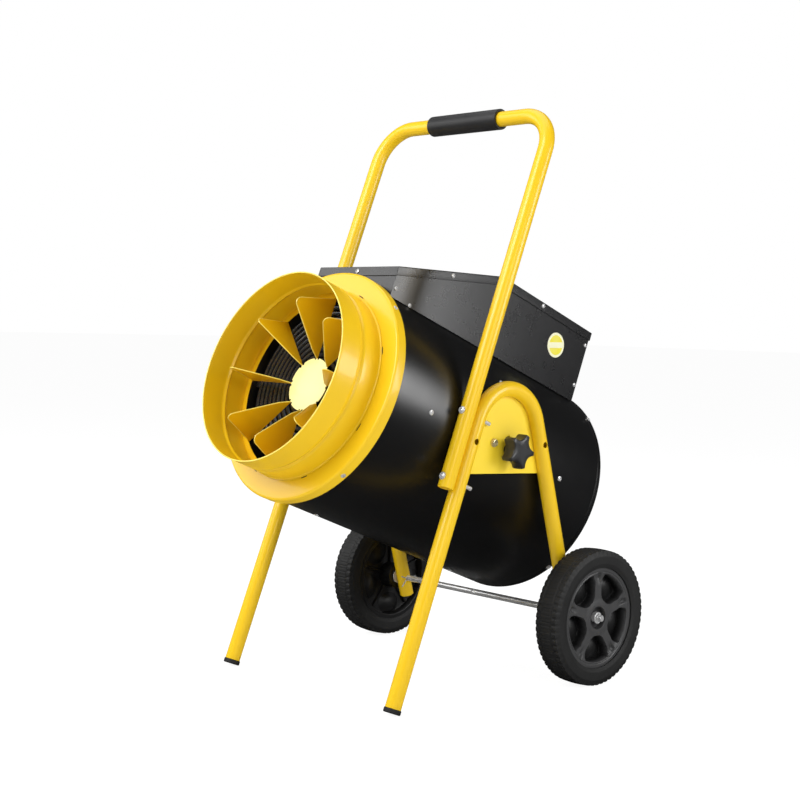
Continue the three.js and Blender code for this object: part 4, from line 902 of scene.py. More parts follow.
def plate_outline():
    """The space inside the arch: two legs' inner lines, an arc between them, and a low edge square to
    the line that halves them."""
    inset = math.sqrt(TUBE_R**2 - (FRAME_X - PLATE_OUTER) ** 2) + GAP
    front_line = FOOT - LEG_FRONT * inset
    rear_line = AXLE - np.array((REAR_UP[1], -REAR_UP[0])) * inset
    halving = unit(LEG_UP + REAR_UP)
    low_way = np.array((halving[1], -halving[0]))
    low_middle = PIVOT[1:] - halving * PLATE_DROP
    low_front = crossing(front_line, LEG_UP, low_middle, low_way)
    low_rear = crossing(rear_line, REAR_UP, low_middle, low_way)
    top = crossing(front_line, LEG_UP, rear_line, REAR_UP)
    return rounded([low_front, low_rear, top], [1.0, 1.0, ARCH_R - inset], 40, share=0.95)


def lock_slot():
    """Two arcs about the pivot, a stud's width apart, closed by half circles."""
    tilt = math.atan2(-OUTLET[2], -OUTLET[1])
    low, high = tilt - math.radians(TILT_UP_MORE), tilt + math.radians(TILT_DOWN)
    half = STUD_R + GAP
    sweep = np.linspace(low, high, 24)
    end = np.linspace(0, math.pi, 10)[1:-1]

    def arc(radius, angles, centre):
        return centre + radius * np.stack((np.cos(angles), np.sin(angles)), -1)

    top, bottom = (arc(LOCK_OFFSET, angle, PIVOT[1:]) for angle in (high, low))
    return np.vstack((arc(LOCK_OFFSET + half, sweep, PIVOT[1:]), arc(half, high + end, top),
                      arc(LOCK_OFFSET - half, sweep[::-1], PIVOT[1:]),
                      arc(half, low + math.pi + end, bottom)))


def side_plates():
    """The arch's outline, less the pivot's hole and the lock's slot, as a plate inwards from its face."""
    holes = [circle(STUD_R + GAP, PIVOT[1:], 32), lock_slot()]
    for side, sign in SIDES:
        def place(u, v, w, sign=sign):
            return np.stack((sign * (PLATE_OUTER - w), u, v), -1)

        # the plate takes the brighter painted-light copy of the yellow paint
        piece(f"arch_plate_{side}", slab(plate_outline(), place, PLATE_T, holes), YELLOW_PLATE_LIT, "trolley",
              [f"side_plate_{side}"], bevel=0.4)


def push_handle():
    """A tube carried up one side, across and down the other, open at both low ends."""
    low, top = leg_point(HANDLE_LOW, HANDLE_OFFSET), leg_point(HANDLE_TOP, HANDLE_OFFSET)
    corners = [side_view(low, FRAME_X), side_view(top, FRAME_X), side_view(top, -FRAME_X),
               side_view(low, -FRAME_X)]
    path = bent(corners, HANDLE_BEND)
    surface = pipe(path, TUBE_R - WITHIN, TUBE_R - TUBE_WALL, side_view(LEG_FRONT, 0))
    piece("handle_tube", surface, YELLOW, "trolley", ["push_handle"])


def handle_grip():
    """A foam sleeve: a thick ring's profile with soft ends, turned about the crossbar."""
    x0, x1 = GRIP_SPAN
    inner = TUBE_R + GAP
    corners = [(inner, x0 + 1), (GRIP_R, x0), (GRIP_R, x1), (inner, x1 - 1)]
    place = axis_place(side_view(leg_point(HANDLE_TOP, HANDLE_OFFSET), 0), ACROSS)
    sleeve = turned(rounded(corners, [1.0, 3.2, 3.2, 1.0], 6), place, 72)
    piece("grip_sleeve", sleeve, FOAM, "trolley", ["handle_grip"])


def handle_bolts():
    """A domed head on a washer in front of the handle tube, and a threaded end behind the leg."""
    forward = side_view(LEG_FRONT, 0)
    for side, sign in SIDES:
        for level, distance in zip(("low", "high"), BOLT_STATIONS):
            front = side_view(leg_point(distance, HANDLE_OFFSET + TUBE_R + GAP), sign * FRAME_X)
            back = side_view(leg_point(distance, -TUBE_R + 1), sign * FRAME_X)
            washer = turned(flat_ring(2, 5.5, 0, 0.9, 0.3), axis_place(front, forward), 40)
            head = pan_screw(front + forward * 0.8, forward, 4.9, 3.2, spin=0.5)
            tail = threaded(back, -forward, 3.0, 15.0)
            piece(f"frame_bolt_{level}_{side}", joined(washer, head, tail), FASTENER, "trolley",
                  [f"handle_bolt_{level}_{side}"])


def axle_bar():
    """A round bar: the radius dips by a punched mark near the middle and narrows at both ends."""
    mark_x = -13
    tip = np.linspace(AXLE_END - 2, AXLE_END, 5)
    x = np.hstack((-tip[::-1], np.linspace(-240, -30, 16), np.linspace(-26, 0, 50), np.linspace(20, 240, 16),
                   tip))[:, None]
    angle = full_turn(40)
    chamfer = np.minimum(1.2, AXLE_END - np.abs(x))
    facing = np.cos(angle - math.radians(150))
    mark = 0.9 * np.exp(-(((x - mark_x) / 3.0) ** 2)) * smooth(0.8, 1.0, facing)
    body = around_axle(AXLE_R - 1.2 + chamfer - mark, x, angle)
    tips = [around_axle(0.0, np.full((1, 1), sign * AXLE_END), angle) for sign in (-1, 1)]
    surface = grid(np.vstack((tips[0], body, tips[1])), wrap_cols=True)
    piece("axle_bar", surface, ZINC, "trolley", ["axle"])


def split_pins():
    """A bent wire with an eye behind the axle and two legs that part in front of it."""
    wire_r, eye_r, eye_back = 0.85, 3.1, 11.6
    turn = np.linspace(math.radians(-150), math.radians(150), 24)
    loop = np.stack((eye_back + eye_r * np.cos(turn), eye_r * np.sin(turn)), -1)
    upper = [(9, 0.7), (-7, 0.8), (-19, 4.6)]
    lower = [(9, -0.7), (-7, -0.8), (-17.5, -13.0)]
    for side, sign in SIDES:
        x = sign * (FRAME_X - TUBE_R - PIN_INSET)
        legs = [bent([side_view(AXLE + point, x) for point in leg], 2.0, 6) for leg in (upper, lower)]
        eye = np.array([side_view(AXLE + point, x) for point in loop])
        wires = [carried(path, wire_r, ACROSS, 12) for path in (*legs, eye)]
        piece(f"split_wire_{side}", joined(*wires), FASTENER, "trolley", [f"split_pin_{side}"])


def hub_fasteners():
    """A flat washer between leg and wheel, and a domed nut on a collar in the wheel's recess."""
    dome_r, dome_start = 6.6, 7.4
    nut_start = HUB_FACE - HUB_RECESS + GAP
    t = np.linspace(0, math.pi / 2, 10)
    dome = np.column_stack((dome_r * np.cos(t), dome_start + (AXLE_END - nut_start - dome_start) * np.sin(t)))
    dome = np.vstack(([(0, 7), (dome_r, 7)], dome))
    for side, sign in SIDES:
        outwards = ACROSS * sign
        start = side_view(AXLE, sign * (FRAME_X + TUBE_R + GAP))
        washer = turned(flat_ring(AXLE_R + 0.3, WASHER_R, 0, WASHER_T, 0.4), axis_place(start, outwards), 56)
        piece(f"flat_washer_{side}", washer, FASTENER, "trolley", [f"hub_washer_{side}"])
        seat = side_view(AXLE, sign * nut_start)
        nut = hex_nut(seat, outwards, 15.0, 7.0, 0.5)
        collar = turned(flat_ring(1, 8.6, 6.4, 7.9, 0.5), axis_place(seat, outwards), 56)
        cap = turned(dome, axis_place(seat, outwards), 56)
        piece(f"dome_nut_{side}", joined(nut, collar, cap), FASTENER, "trolley",
              [f"axle_nut_{side}"])


# ---------------------------------------------------------------- wheels


def tread_depth(x, angle):
    """Short notches in from both edges, half a notch apart, fine cross lines between them and two
    shallow grooves all round."""
    notches = 62
    across = (x - WHEEL_MIDDLE) / (WHEEL_OUTER - WHEEL_MIDDLE)
    phase = (angle * notches / FULL_TURN + np.where(across > 0, 0.5, 0.0)) % 1
    notch = smooth(0.24, 0.12, np.abs(phase - 0.5)) * smooth(0.52, 0.62, np.abs(across)) * 1.2
    line = smooth(0.13, 0.05, np.abs((2 * phase) % 1 - 0.5)) * smooth(0.5, 0.44, np.abs(across)) * 0.45
    groove = smooth(0.055, 0.02, np.abs(np.abs(across) - 0.48)) * 0.9
    return np.maximum(np.maximum(notch, line), groove) * smooth(1.02, 0.98, np.abs(across))


def tyres():
    """The section's outline, turned once; on the tread its radius drops by the tread's depth."""
    outer = WHEEL_OUTER
    side = rounded([(76.0, outer - 2.4), (82, outer - 0.6), (94, outer), (98.2, outer - 1.6)], [0, 4, 3, 0],
                   closed=False)
    tread_x = np.linspace(outer - 2.6, WHEEL_INNER + 2.6, 44)
    crown = WHEEL_R - 0.9 * ((tread_x - WHEEL_MIDDLE) / 17.4) ** 2
    back = side[::-1] * (1, -1) + (0, 2 * WHEEL_MIDDLE)
    profile = np.vstack((side, np.column_stack((crown, tread_x)), back))
    angle = full_turn(696)
    radius, x = profile[:, :1], profile[:, 1:]
    radius = radius - tread_depth(x, angle) * smooth(96.5, 98.0, radius)
    for name, sign in SIDES:
        surface = grid(around_axle(radius, sign * x, angle), wrap_rows=True, wrap_cols=True)
        piece(f"tyre_tread_{name}", surface, RUBBER, f"wheel_{name}", [f"tyre_{name}"],
              sharp=50)


def off_spoke(angle):
    """The angle to the nearest spoke's middle, the first of which stands straight up."""
    step = FULL_TURN / SPOKES
    return np.abs((angle - math.pi / 2 + step / 2) % step - step / 2)


def window_reach(radius, angle):
    """How far a point lies inside a window: the least of its distances to the hub's ring, the rim's
    ring and the spoke's edge, softened where they meet. Spokes widen towards hub and rim."""
    window_start, window_end, soft = 27.0, 67.5, 1.5
    half_width = 7.0 + 5.5 * smooth(52, 68, radius) + 3.5 * smooth(36, 26, radius)
    from_spoke = radius * np.sin(off_spoke(angle)) - half_width
    stack = np.stack(np.broadcast_arrays(from_spoke, radius - window_start, window_end - radius))
    return -soft * np.log(np.exp(-stack / soft).sum(0))


def cup_height(radius, angle):
    """Five round cups, one in each window: a bump that falls with the square of the distance."""
    step = FULL_TURN / SPOKES
    around = (angle - math.pi / 2) % step - step / 2
    across = radius * np.sin(around)
    along = radius * np.cos(around) - 50.0
    return np.clip(1 - (across / 22.0) ** 2 - (along / 19.0) ** 2, 0, 1)


def wheel_front(radius, angle):
    """The outer face: a hub with a recess, forked spokes and a rim, and five windows whose floors
    are domed. A smooth step in the window's reach picks face or floor."""
    face = HUB_FACE - 1.2 * smooth(20, 30, radius) + 2.2 * smooth(60, 70, radius)
    fork = smooth(5.0, 1.5, off_spoke(angle) * radius) * smooth(48, 64, radius) * smooth(69, 66, radius)
    face = face - 3.2 * fork - HUB_RECESS * smooth(17.4, 16.4, radius)
    floor = HUB_FACE - 17.5 + 6.0 * cup_height(radius, angle)
    depth = smooth(0.2, 1.5, window_reach(radius, angle))
    rim_groove = 0.8 * smooth(71.2, 70.6, radius) * smooth(69.2, 69.8, radius)
    return np.minimum(face * (1 - depth) + floor * depth - rim_groove, WHEEL_OUTER - RIM_INSET)


def wheel_back(radius, angle):
    """The inner face: a dish with five cups, a rib behind each spoke, a rim and a long hub."""
    rim_face, dish = WHEEL_INNER + RIM_INSET, WHEEL_OUTER - 28.5
    hub_end = FRAME_X + TUBE_R + WASHER_T + 2 * GAP
    x = dish - 6.5 * cup_height(radius, angle)
    x = np.where(radius > 66.8, rim_face + (dish - rim_face) * smooth(68.2, 66.9, radius), x)
    x = np.where(radius < 21.4, hub_end, x)
    rib = smooth(2.2, 1.2, off_spoke(angle) * radius) * smooth(66, 64, radius) * smooth(20, 22, radius)
    return x - np.where(radius > 21.4, 5.0, 0.0) * rib


def wheel_discs():
    """Front and back faces as heights over radius and angle, joined by the rim and the hub's bore."""
    angle = full_turn(600)
    front_r = np.hstack(([5.6, 16.2, 16.8, 17.4, 18.0], np.linspace(19.5, 68.5, 76),
                         np.linspace(69.2, RIM_R, 12)))[:, None]
    back_r = np.hstack((np.linspace(RIM_R, 68.0, 8), np.linspace(67.0, 22.0, 44), [21.0, 20.6, 6.0]))[:, None]
    x = np.vstack((wheel_front(front_r, angle), wheel_back(back_r, angle)))
    radius = np.vstack((front_r, back_r))
    for name, sign in SIDES:
        surface = grid(around_axle(radius, sign * x, angle), wrap_rows=True, wrap_cols=True)
        piece(f"wheel_disc_{name}", surface, WHEEL_PLASTIC, f"wheel_{name}",
              [f"wheel_rim_{name}"], sharp=60)


# ---------------------------------------------------------------- drum and its ends


def drum():
    """A sheet tube from the rear seam to the flange."""
    profile = flat_ring(DRUM_R - SHEET, DRUM_R, DRUM_BACK, FLANGE_FACE - 1.5, 0.4)
    piece("drum_skin", turned(profile, around_drum, 220), BLACK, "heater", ["drum_shell"])


def rear_ring():
    """A ring with a rounded outer edge, a lip inside the drum and another round the air inlet."""
    lip_in, lip_out = DRUM_R - 3.2, DRUM_R - 1.6
    corners = [(lip_in, DRUM_BACK + 12), (lip_out, DRUM_BACK + 12), (lip_out, DRUM_BACK - GAP),
               (DRUM_R, DRUM_BACK - GAP), (DRUM_R, COVER_BACK), (INLET_R, COVER_BACK),
               (INLET_R - SHEET, COVER_BACK + 12), (INLET_R, COVER_BACK + 12),
               (INLET_R + 1, COVER_BACK + SHEET), (DRUM_R - 5.5, COVER_BACK + SHEET),
               (lip_in, COVER_BACK + 6.2)]
    profile = rounded(corners, [0, 0, 0, 0.6, 5.0, 1.4, 0, 0, 0.8, 2, 1], 6)
    piece("rear_ring", turned(profile, around_drum, 220), BLACK, "heater", ["rear_cover"])


def inlet_grille():
    """Thirteen rings of wire, a dished cover at the middle, and twelve wires across the rings."""
    plane, wire_r, cover_r = COVER_BACK + 2.4, 1.15, 27
    section = circle(wire_r, count=10)
    ring_radii = np.linspace(cover_r + 3, INLET_R - 3.2, 13)
    rings = [turned(section + (radius, plane), around_drum, 120) for radius in ring_radii]
    spokes = []
    for degrees in range(15, 360, 30):
        ends = around_drum(np.array((24.0, INLET_R - 2.6)), plane + 0.9, math.radians(degrees))
        spokes.append(rod(ends[0], ends[1], wire_r, 10))
    radius = np.linspace(0.01, cover_r, 12)
    dish = np.column_stack((radius, plane - 1.2 + 0.4 * (radius / cover_r) ** 2))
    cover = np.vstack((dish, [(cover_r, plane + 1.4), (0.01, plane + 1.4)]))
    wires = joined(*rings, *spokes, turned(cover, around_drum, 60))
    piece("inlet_wires", wires, BLACK, "heater", ["inlet_guard"])


def flange():
    """A flat ring with a rounded edge that turns back into a skirt round the drum."""
    hole, skirt_in = COLLAR_R - SHEET, FLANGE_R - SHEET
    back, skirt_end = FLANGE_FACE - SHEET, FLANGE_FACE - FLANGE_SKIRT
    corners = [(hole, FLANGE_FACE), (FLANGE_R, FLANGE_FACE), (FLANGE_R, skirt_end), (skirt_in, skirt_end),
               (skirt_in, back), (hole, back)]
    profile = rounded(corners, [0.3, 3.6, 0.5, 0.5, 2.5, 0.3], 8)
    piece("flange_ring", turned(profile, around_drum, 220), YELLOW, "heater",
          ["front_flange"])


def collar():
    """A tapering sleeve with a small foot, an inward bead and a rolled mouth."""
    foot, end = FLANGE_FACE + GAP, FLANGE_FACE + COLLAR_LENGTH
    bead_s, bead_depth, foot_r = FLANGE_FACE + 34, 2.2, COLLAR_R + 2.4
    s = np.hstack((np.linspace(foot + 4, end - 1.4, 60)[1:], [end - 0.6]))
    radius = COLLAR_R + (COLLAR_MOUTH_R - COLLAR_R) * (s - foot) / COLLAR_LENGTH
    bead = np.exp(-(((s - bead_s) / 2.6) ** 2)) * bead_depth
    lip = smooth(end - 4, end - 1, s) * 0.35
    t = np.linspace(0, math.pi / 2, 6)
    fillet = np.column_stack((COLLAR_R + 2.0 - 2.0 * np.sin(t), foot + 3.0 - 2.2 * np.cos(t)))
    sleeve = np.column_stack((radius - bead + lip, s))
    skin = np.vstack(([(foot_r, foot), (foot_r, foot + 0.8)], fillet, sleeve))
    back = (skin - (SHEET, 0))[::-1]
    back = back[back[:, 1] > foot + 1.5]
    mouth = (COLLAR_MOUTH_R - SHEET / 2 + 0.35, end)
    profile = np.vstack((skin, [mouth], back, [(COLLAR_R - SHEET, foot)]))
    piece("outlet_sleeve", turned(profile, around_drum, 240), YELLOW, "heater",
          ["outlet_collar"])


def collar_slots():
    """Eight slots in the corner between flange and sleeve, drawn as thin patches of painted shade that follow
    it.
    """
    patches = []
    across = np.linspace(-1, 1, 16)
    width = np.sqrt(np.clip(1 - across**4, 0.02, 1))[None, :]
    line = np.linspace(0, 1, 3)[:, None]
    radius = COLLAR_R + 3.4 + 1.5 * (line - 0.5) * width
    for k in range(8):
        angle = (math.radians(22.5 + 45 * k) + across * 0.042)[None, :]
        top = around_drum(radius, FLANGE_FACE + 0.12, angle)
        low = around_drum(radius, FLANGE_FACE - 0.3, angle)
        patches.append(grid(np.vstack((top, low[::-1])), wrap_rows=True))
    piece("collar_slots", joined(*patches), SLOT_PAINTED_SHADE, "heater")


# ---------------------------------------------------------------- guide vanes


def vane_angle(k):
    """The angle of a vane about the drum's axis."""
    return math.radians(360 / VANES * k)


def on_vane(k, radius, aside, depth):
    """A point of a vane: out along its angle, aside from it, and forward of the ring's back."""
    angle = vane_angle(k)
    x = radius * math.cos(angle) - aside * math.sin(angle)
    h = radius * math.sin(angle) + aside * math.cos(angle)
    return on_heater(x, VANE_PLANE - SHEET + depth, h)


def vane_bow(depth):
    """A vane's sideways bow grows with the square of the depth."""
    return 2.6 * (depth / 60) ** 2


def vane_sheet(k):
    """One vane as two skins a sheet apart, between a base line on the ring and a free edge.

    The free edge rises from the hub to a rounded corner and falls to the ring. The skins bow
    sideways, and meet in a rounded edge.
    """
    corner = rounded([(39.5, 1), (50, 15), (107, 72), (131, 6), (136, 0)], [0, 3, 8, 3, 0], 8, closed=False)
    lengths = np.hstack((0, np.cumsum(np.linalg.norm(np.diff(corner, axis=0), axis=1))))
    place_u = np.linspace(0, lengths[-1], 60)
    free = np.stack([np.interp(place_u, lengths, corner[:, axis]) for axis in (0, 1)], -1)
    base = np.stack((np.interp(place_u / lengths[-1], (0, 1), (38.5, 136)), np.zeros(60)), -1)
    v = np.linspace(0, 1, 14)[None, :, None]
    sheet = base[:, None] * (1 - v) + free[:, None] * v
    radius, depth = sheet[..., 0], sheet[..., 1]
    edge = np.sqrt(np.clip(1 - smooth(0.93, 1.0, v[..., 0]) ** 2, 0.0, 1))
    skins = [on_vane(k, radius, vane_bow(depth) + sign * SHEET / 2 * edge, depth) for sign in (1, -1)]
    return grid(np.concatenate((skins[0], skins[1][:, ::-1]), axis=1), wrap_cols=True)


def vane_edge(k):
    """A thin wire along a vane's free edge, from hub to ring, with the bow of its skins; it carries the
    edge's painted highlight.
    """
    line = rounded([(40.5, 2), (50, 15), (107, 72), (131, 6)], [0, 3, 8, 0], 8, closed=False)
    radius, depth = line.T
    angle = vane_angle(k)
    across = UPWARD * math.cos(angle) - ACROSS * math.sin(angle)
    return carried(on_vane(k, radius, vane_bow(depth), depth), 0.72, across, 8)


def bright_edges():
    """Thin rounded edges in a paler yellow, a painted highlight where light catches them: round the vanes'
    free edges and the mouth.
    """
    lip_r = 0.95
    mouth = circle(lip_r, (COLLAR_MOUTH_R - 0.35, FLANGE_FACE + COLLAR_LENGTH - lip_r), 12)
    edges = [vane_edge(k) for k in range(VANES)]
    edges.append(turned(mouth, around_drum, 240))
    piece("bright_edges", joined(*edges), EDGE_HIGHLIGHT_PAINT, "heater")


def guide_vanes():
    """A flat ring behind the flange, and eight vanes that stand on it."""
    ring = flat_ring(WINDOW_R, VANE_RING_R, VANE_PLANE - SHEET, VANE_PLANE, 0.3)
    vanes = joined(turned(ring, around_drum, 200), *(vane_sheet(k) for k in range(VANES)))
    piece("vane_ring", vanes, YELLOW_INSIDE, "heater", ["guide_vanes"], sharp=50)


def vane_hub():
    """A flat disc whose edge has a pair of small notches beside each vane."""
    angle = full_turn(480)
    half_step = math.pi / VANES
    beside = np.abs((angle + half_step) % (2 * half_step) - half_step)
    notch = smooth(0.03, 0.05, beside) * smooth(0.13, 0.10, beside)
    edge = VANE_HUB_R - 2.4 * notch
    level = np.array((0.0, 0.3, 0.97, 1.0, 1.0, 0.97, 0.0))[:, None]
    lift = np.array((0.0, 0.0, 0.0, -0.25, -0.95, -SHEET, -SHEET))[:, None]
    points = around_drum(np.maximum(edge * level, 0.001), VANE_PLANE + lift, angle)
    # the hub's pale cream is a painted reflection of light
    piece("vane_hub", grid(points, wrap_cols=True), HUB_HIGHLIGHT_PAINT, "heater")


# ---------------------------------------------------------------- heating elements


def coil_radius(angle):
    """The radius falls evenly, by one pitch a turn, from the outer element's first leg."""
    start = math.acos(COIL_LEG_XS["outer"][0] / COIL_OUTER)
    return COIL_OUTER - COIL_PITCH * (angle - start) / FULL_TURN


def leg_angle(x, turns):
    """The angle, some turns on and near straight up, at which the spiral stands over x."""
    angle = math.pi / 2 + FULL_TURN * turns
    for _ in range(12):
        angle = FULL_TURN * turns + math.acos(x / coil_radius(angle))
    return angle


def coil_leg(angle):
    """From the coil's plane the tube goes back, turns up and runs into the control box."""
    x, h = coil_radius(angle) * math.cos(angle), coil_radius(angle) * math.sin(angle)
    back = COIL_PLANE - COIL_LEG_BACK
    line = [on_heater(x, COIL_PLANE, h), on_heater(x, back, h), on_heater(x, back, DRUM_R + 9)]
    return carried(bent(line, 6.0, 8), COIL_R - 0.01, ACROSS, 14)


def heating_elements():
    """A tube carried along a flat spiral, its radius in turn at a fin and between two, in three
    lengths, each with two plain legs."""
    count = 1400
    fins = np.where(np.arange(count) % 2, COIL_R - 0.01, COIL_R - 0.75)
    for k, (ring, leg_xs) in enumerate(COIL_LEG_XS.items()):
        ends = [leg_angle(x, TURNS_EACH * (k + turn)) for turn, x in enumerate(leg_xs)]
        angle = np.linspace(*ends, count)
        path = around_drum(coil_radius(angle), COIL_PLANE, angle)
        tube = joined(carried(path, fins, OUTLET, 12), *(coil_leg(end) for end in ends))
        piece(f"element_{ring}", tube, SHEATH, "heater", [f"heating_element_{ring}"])


def heat_shield():
    """A plain sheet tube round the elements, on four round standoffs."""
    tube = turned(flat_ring(LINER_R - SHEET, LINER_R, *LINER_SPAN, 0.3), around_drum, 160)
    posts = []
    for degrees in (0, 90, 180, 270):
        reach = np.array((LINER_R, DRUM_R - SHEET - GAP))
        ends = around_drum(reach, STANDOFF_S, math.radians(degrees))
        posts.append(rod(ends[0], ends[1], STANDOFF_R, 32))
    piece("heat_shield", joined(tube, *posts), DARK_SHEET_FINISH, "heater", ["heat_liner"])


# ---------------------------------------------------------------- fan and motor


def motor():
    """A turned housing whose radius ripples with cooling ribs between its two ends."""
    s = np.hstack(([-242, -242, -241], np.linspace(-234, -172, 24), [-167, -166, -166]))[:, None]
    radius = np.hstack(([0.01, 34, 37], np.full(24, MOTOR_R), [42, 38, 0.01]))[:, None]
    angle = full_turn(288)
    ribs = smooth(-0.2, 0.4, np.cos(36 * angle)) * smooth(-236, -228, s) * smooth(-170, -178, s)
    valley = 2.5 * (1 - ribs) * (radius > MOTOR_R - 1)
    points = around_drum(np.maximum(radius - valley, 0.01), s, angle)
    piece("motor_housing", grid(points, wrap_cols=True), CASTING, "heater", ["fan_motor"])


def fan_blade(k):
    """A radial line carried across the chord, from root to tip, its pitch easing from 36 to 22
    degrees; two such skins make the blade."""
    u = np.linspace(0, 1, 24)[:, None]
    v = np.linspace(-1, 1, 20)[None, :]
    tip_cut = 10 * smooth(0.8, 1.0, np.abs(v)) * smooth(0.8, 1.0, u)
    radius = BLADE_ROOT_R + BLADE_LENGTH * u - tip_cut
    chord = (23 + 13 * u) * v
    pitch = np.radians(36 - 14 * u)
    swirl = chord * np.cos(pitch)
    lift = chord * np.sin(pitch) * 0.72 + 3.0 * (1 - v**2)
    angle = math.radians(360 / BLADES * k) + swirl / np.maximum(radius, 45)
    skins = [around_drum(radius, np.clip(FAN_S + lift + side, *FAN_SPAN), angle) for side in (0.8, -0.8)]
    return grid(np.concatenate((skins[0], skins[1][:, ::-1]), axis=1), wrap_cols=True)


def fan():
    """Six blades on a turned hub, on the motor's shaft."""
    bore, near, far = SHAFT_R + GAP, FAN_S - 13, FAN_S + 13
    hub = rounded([(bore, near), (FAN_HUB_R, near), (FAN_HUB_R, far), (bore, far)], [0, 3, 5, 0], 6)
    impeller = joined(*(fan_blade(k) for k in range(BLADES)), turned(hub, around_drum, 80))
    piece("fan_blades", impeller, KNOB_PLASTIC, "fan", ["fan_impeller"], sharp=50)
    shaft = rod(*(on_heater(0, s, 0) for s in SHAFT_SPAN), SHAFT_R, 32)
    piece("fan_shaft", shaft, FASTENER, "fan", ["motor_shaft"])


# ---------------------------------------------------------------- control box


def top_line(inset=0.0):
    """The box's top seen from the side, front to back, moved in by the inset."""
    rise = math.atan2(BOX_TOP_H - BOX_FRONT_H, BOX_FRONT - BOX_BEND)
    front_h = BOX_FRONT_H + inset * math.tan(rise) - inset / math.cos(rise)
    return np.array([(BOX_FRONT - inset, front_h), (BOX_BEND - inset * math.tan(rise / 2), BOX_TOP_H - inset),
                     (BOX_BACK + inset, BOX_TOP_H - inset)])


def drum_round(half):
    """Points across the drum's top, at the height of its round, from one side to the other."""
    x = np.linspace(-half, half, 40)
    return np.column_stack((x, np.sqrt(WALL_FOOT_R**2 - x**2)))


def box_walls():
    """Two side walls that stand on the drum, a front wall with a foot cut to its round, and a flap
    across the back."""
    line = top_line(SHEET + GAP)
    (front, front_h), (back, back_h) = line[0], line[2]
    span = WALL_HALF - SHEET
    foot = math.sqrt(WALL_FOOT_R**2 - span**2) + 0.6
    outline = rounded(np.vstack((line, [(back, foot), (front, foot)])), [1, 0, 1, 1, 1], 3)
    walls = [slab(outline, lambda u, v, w: on_heater(sign * (WALL_HALF - w), u, v), SHEET)
             for sign in (1, -1)]
    front_wall = np.vstack((drum_round(span), [(span, front_h), (-span, front_h)]))
    walls.append(slab(front_wall, lambda u, v, w: on_heater(u, front - w, v), SHEET))
    flap = [(back + 3, back_h - 6), (back + 12, back_h - 6), (back + 12, back_h - 6 + SHEET),
            (back + 3, back_h - 6 + SHEET)]
    walls.append(slab(flap, lambda u, v, w: on_heater(-WALL_HALF + w, u, v), 2 * WALL_HALF))
    piece("box_walls", joined(*walls), BOX_BLACK, "heater", ["control_box"], bevel=0.35)


def box_lid():
    """A folded sheet: a U-shaped section carried along the top line, with flaps front and back."""
    fold = 1.6
    outer, inner = BOX_HALF, BOX_HALF - SHEET
    corners = [(-outer, -LID_LIP), (-outer, 0), (outer, 0), (outer, -LID_LIP), (inner, -LID_LIP),
               (inner, -SHEET), (-inner, -SHEET), (-inner, -LID_LIP)]
    section = rounded(corners, [0.3, fold, fold, 0.3, 0.3, 0.6, 0.6, 0.3], 5)
    line = rounded(top_line(), [0, 3, 0], closed=False)
    points, faces = grid(on_heater(section[None, :, 0], line[:, :1], line[:, 1:] + section[None, :, 1]),
                         wrap_cols=True)
    first_end = np.arange(len(section))[None]
    caps = [first_end[:, ::-1], first_end + len(section) * (len(line) - 1)]
    flaps = []
    for s, height, inwards in ((BOX_FRONT, BOX_FRONT_H, -1), (BOX_BACK, BOX_TOP_H, 1)):
        half, low, top = inner - 0.4, height - LID_LIP, height - 0.7
        edge = [(-half, low), (half, low), (half, top), (-half, top)]
        flaps.append(slab(edge, lambda u, v, w: on_heater(u, s + w * inwards, v), SHEET))
    lid = joined((points, faces + caps), *flaps)
    piece("lid_sheet", lid, BOX_BLACK, "heater", ["box_lid"], bevel=0.35)


def rear_panel():
    """A plate that follows the drum's round at its foot."""
    half, top = WALL_HALF - SHEET - GAP, BOX_TOP_H - SHEET - GAP
    outline = np.vstack((drum_round(half), [(half, top), (-half, top)]))
    panel = slab(outline, lambda u, v, w: on_heater(u, PANEL_S + w, v), PANEL_T)
    piece("rear_panel", panel, BOX_BLACK, "heater", ["control_panel"], bevel=0.3)


def stroke(x, degrees, length):
    """A thin white bar on the panel, along a ray from a dial's middle and outside its cap."""
    start = 20.5
    way = np.array((math.cos(math.radians(degrees)), math.sin(math.radians(degrees))))
    aside = np.array((-way[1], way[0])) * 0.45
    near, far = way * start, way * (start + length)
    outline = np.array([near - aside, far - aside, far + aside, near + aside]) + (x, KNOB_H)
    return slab(outline, lambda u, v, w: on_heater(u, PANEL_S - w, v), 0.12)


def dial_scales():
    """Short white strokes on an arc round each dial: five alike for the selector, and thirteen for
    the thermostat, longer at every third."""
    long, short = 4.6, 2.8
    marks = [stroke(DIAL_XS["selector"], degrees, long) for degrees in np.linspace(-30, 90, 5)]
    for k, degrees in enumerate(np.linspace(-45, 225, 13)):
        marks.append(stroke(DIAL_XS["thermostat"], degrees, short if k % 3 else long))
    piece("dial_scales", joined(*marks), WHITE_MARK, "heater")


def bar_across(x, half, low, high):
    """A bar's outline over a dial's face."""
    return [(x - half, KNOB_H + low), (x + half, KNOB_H + low), (x + half, KNOB_H + high),
            (x - half, KNOB_H + high)]


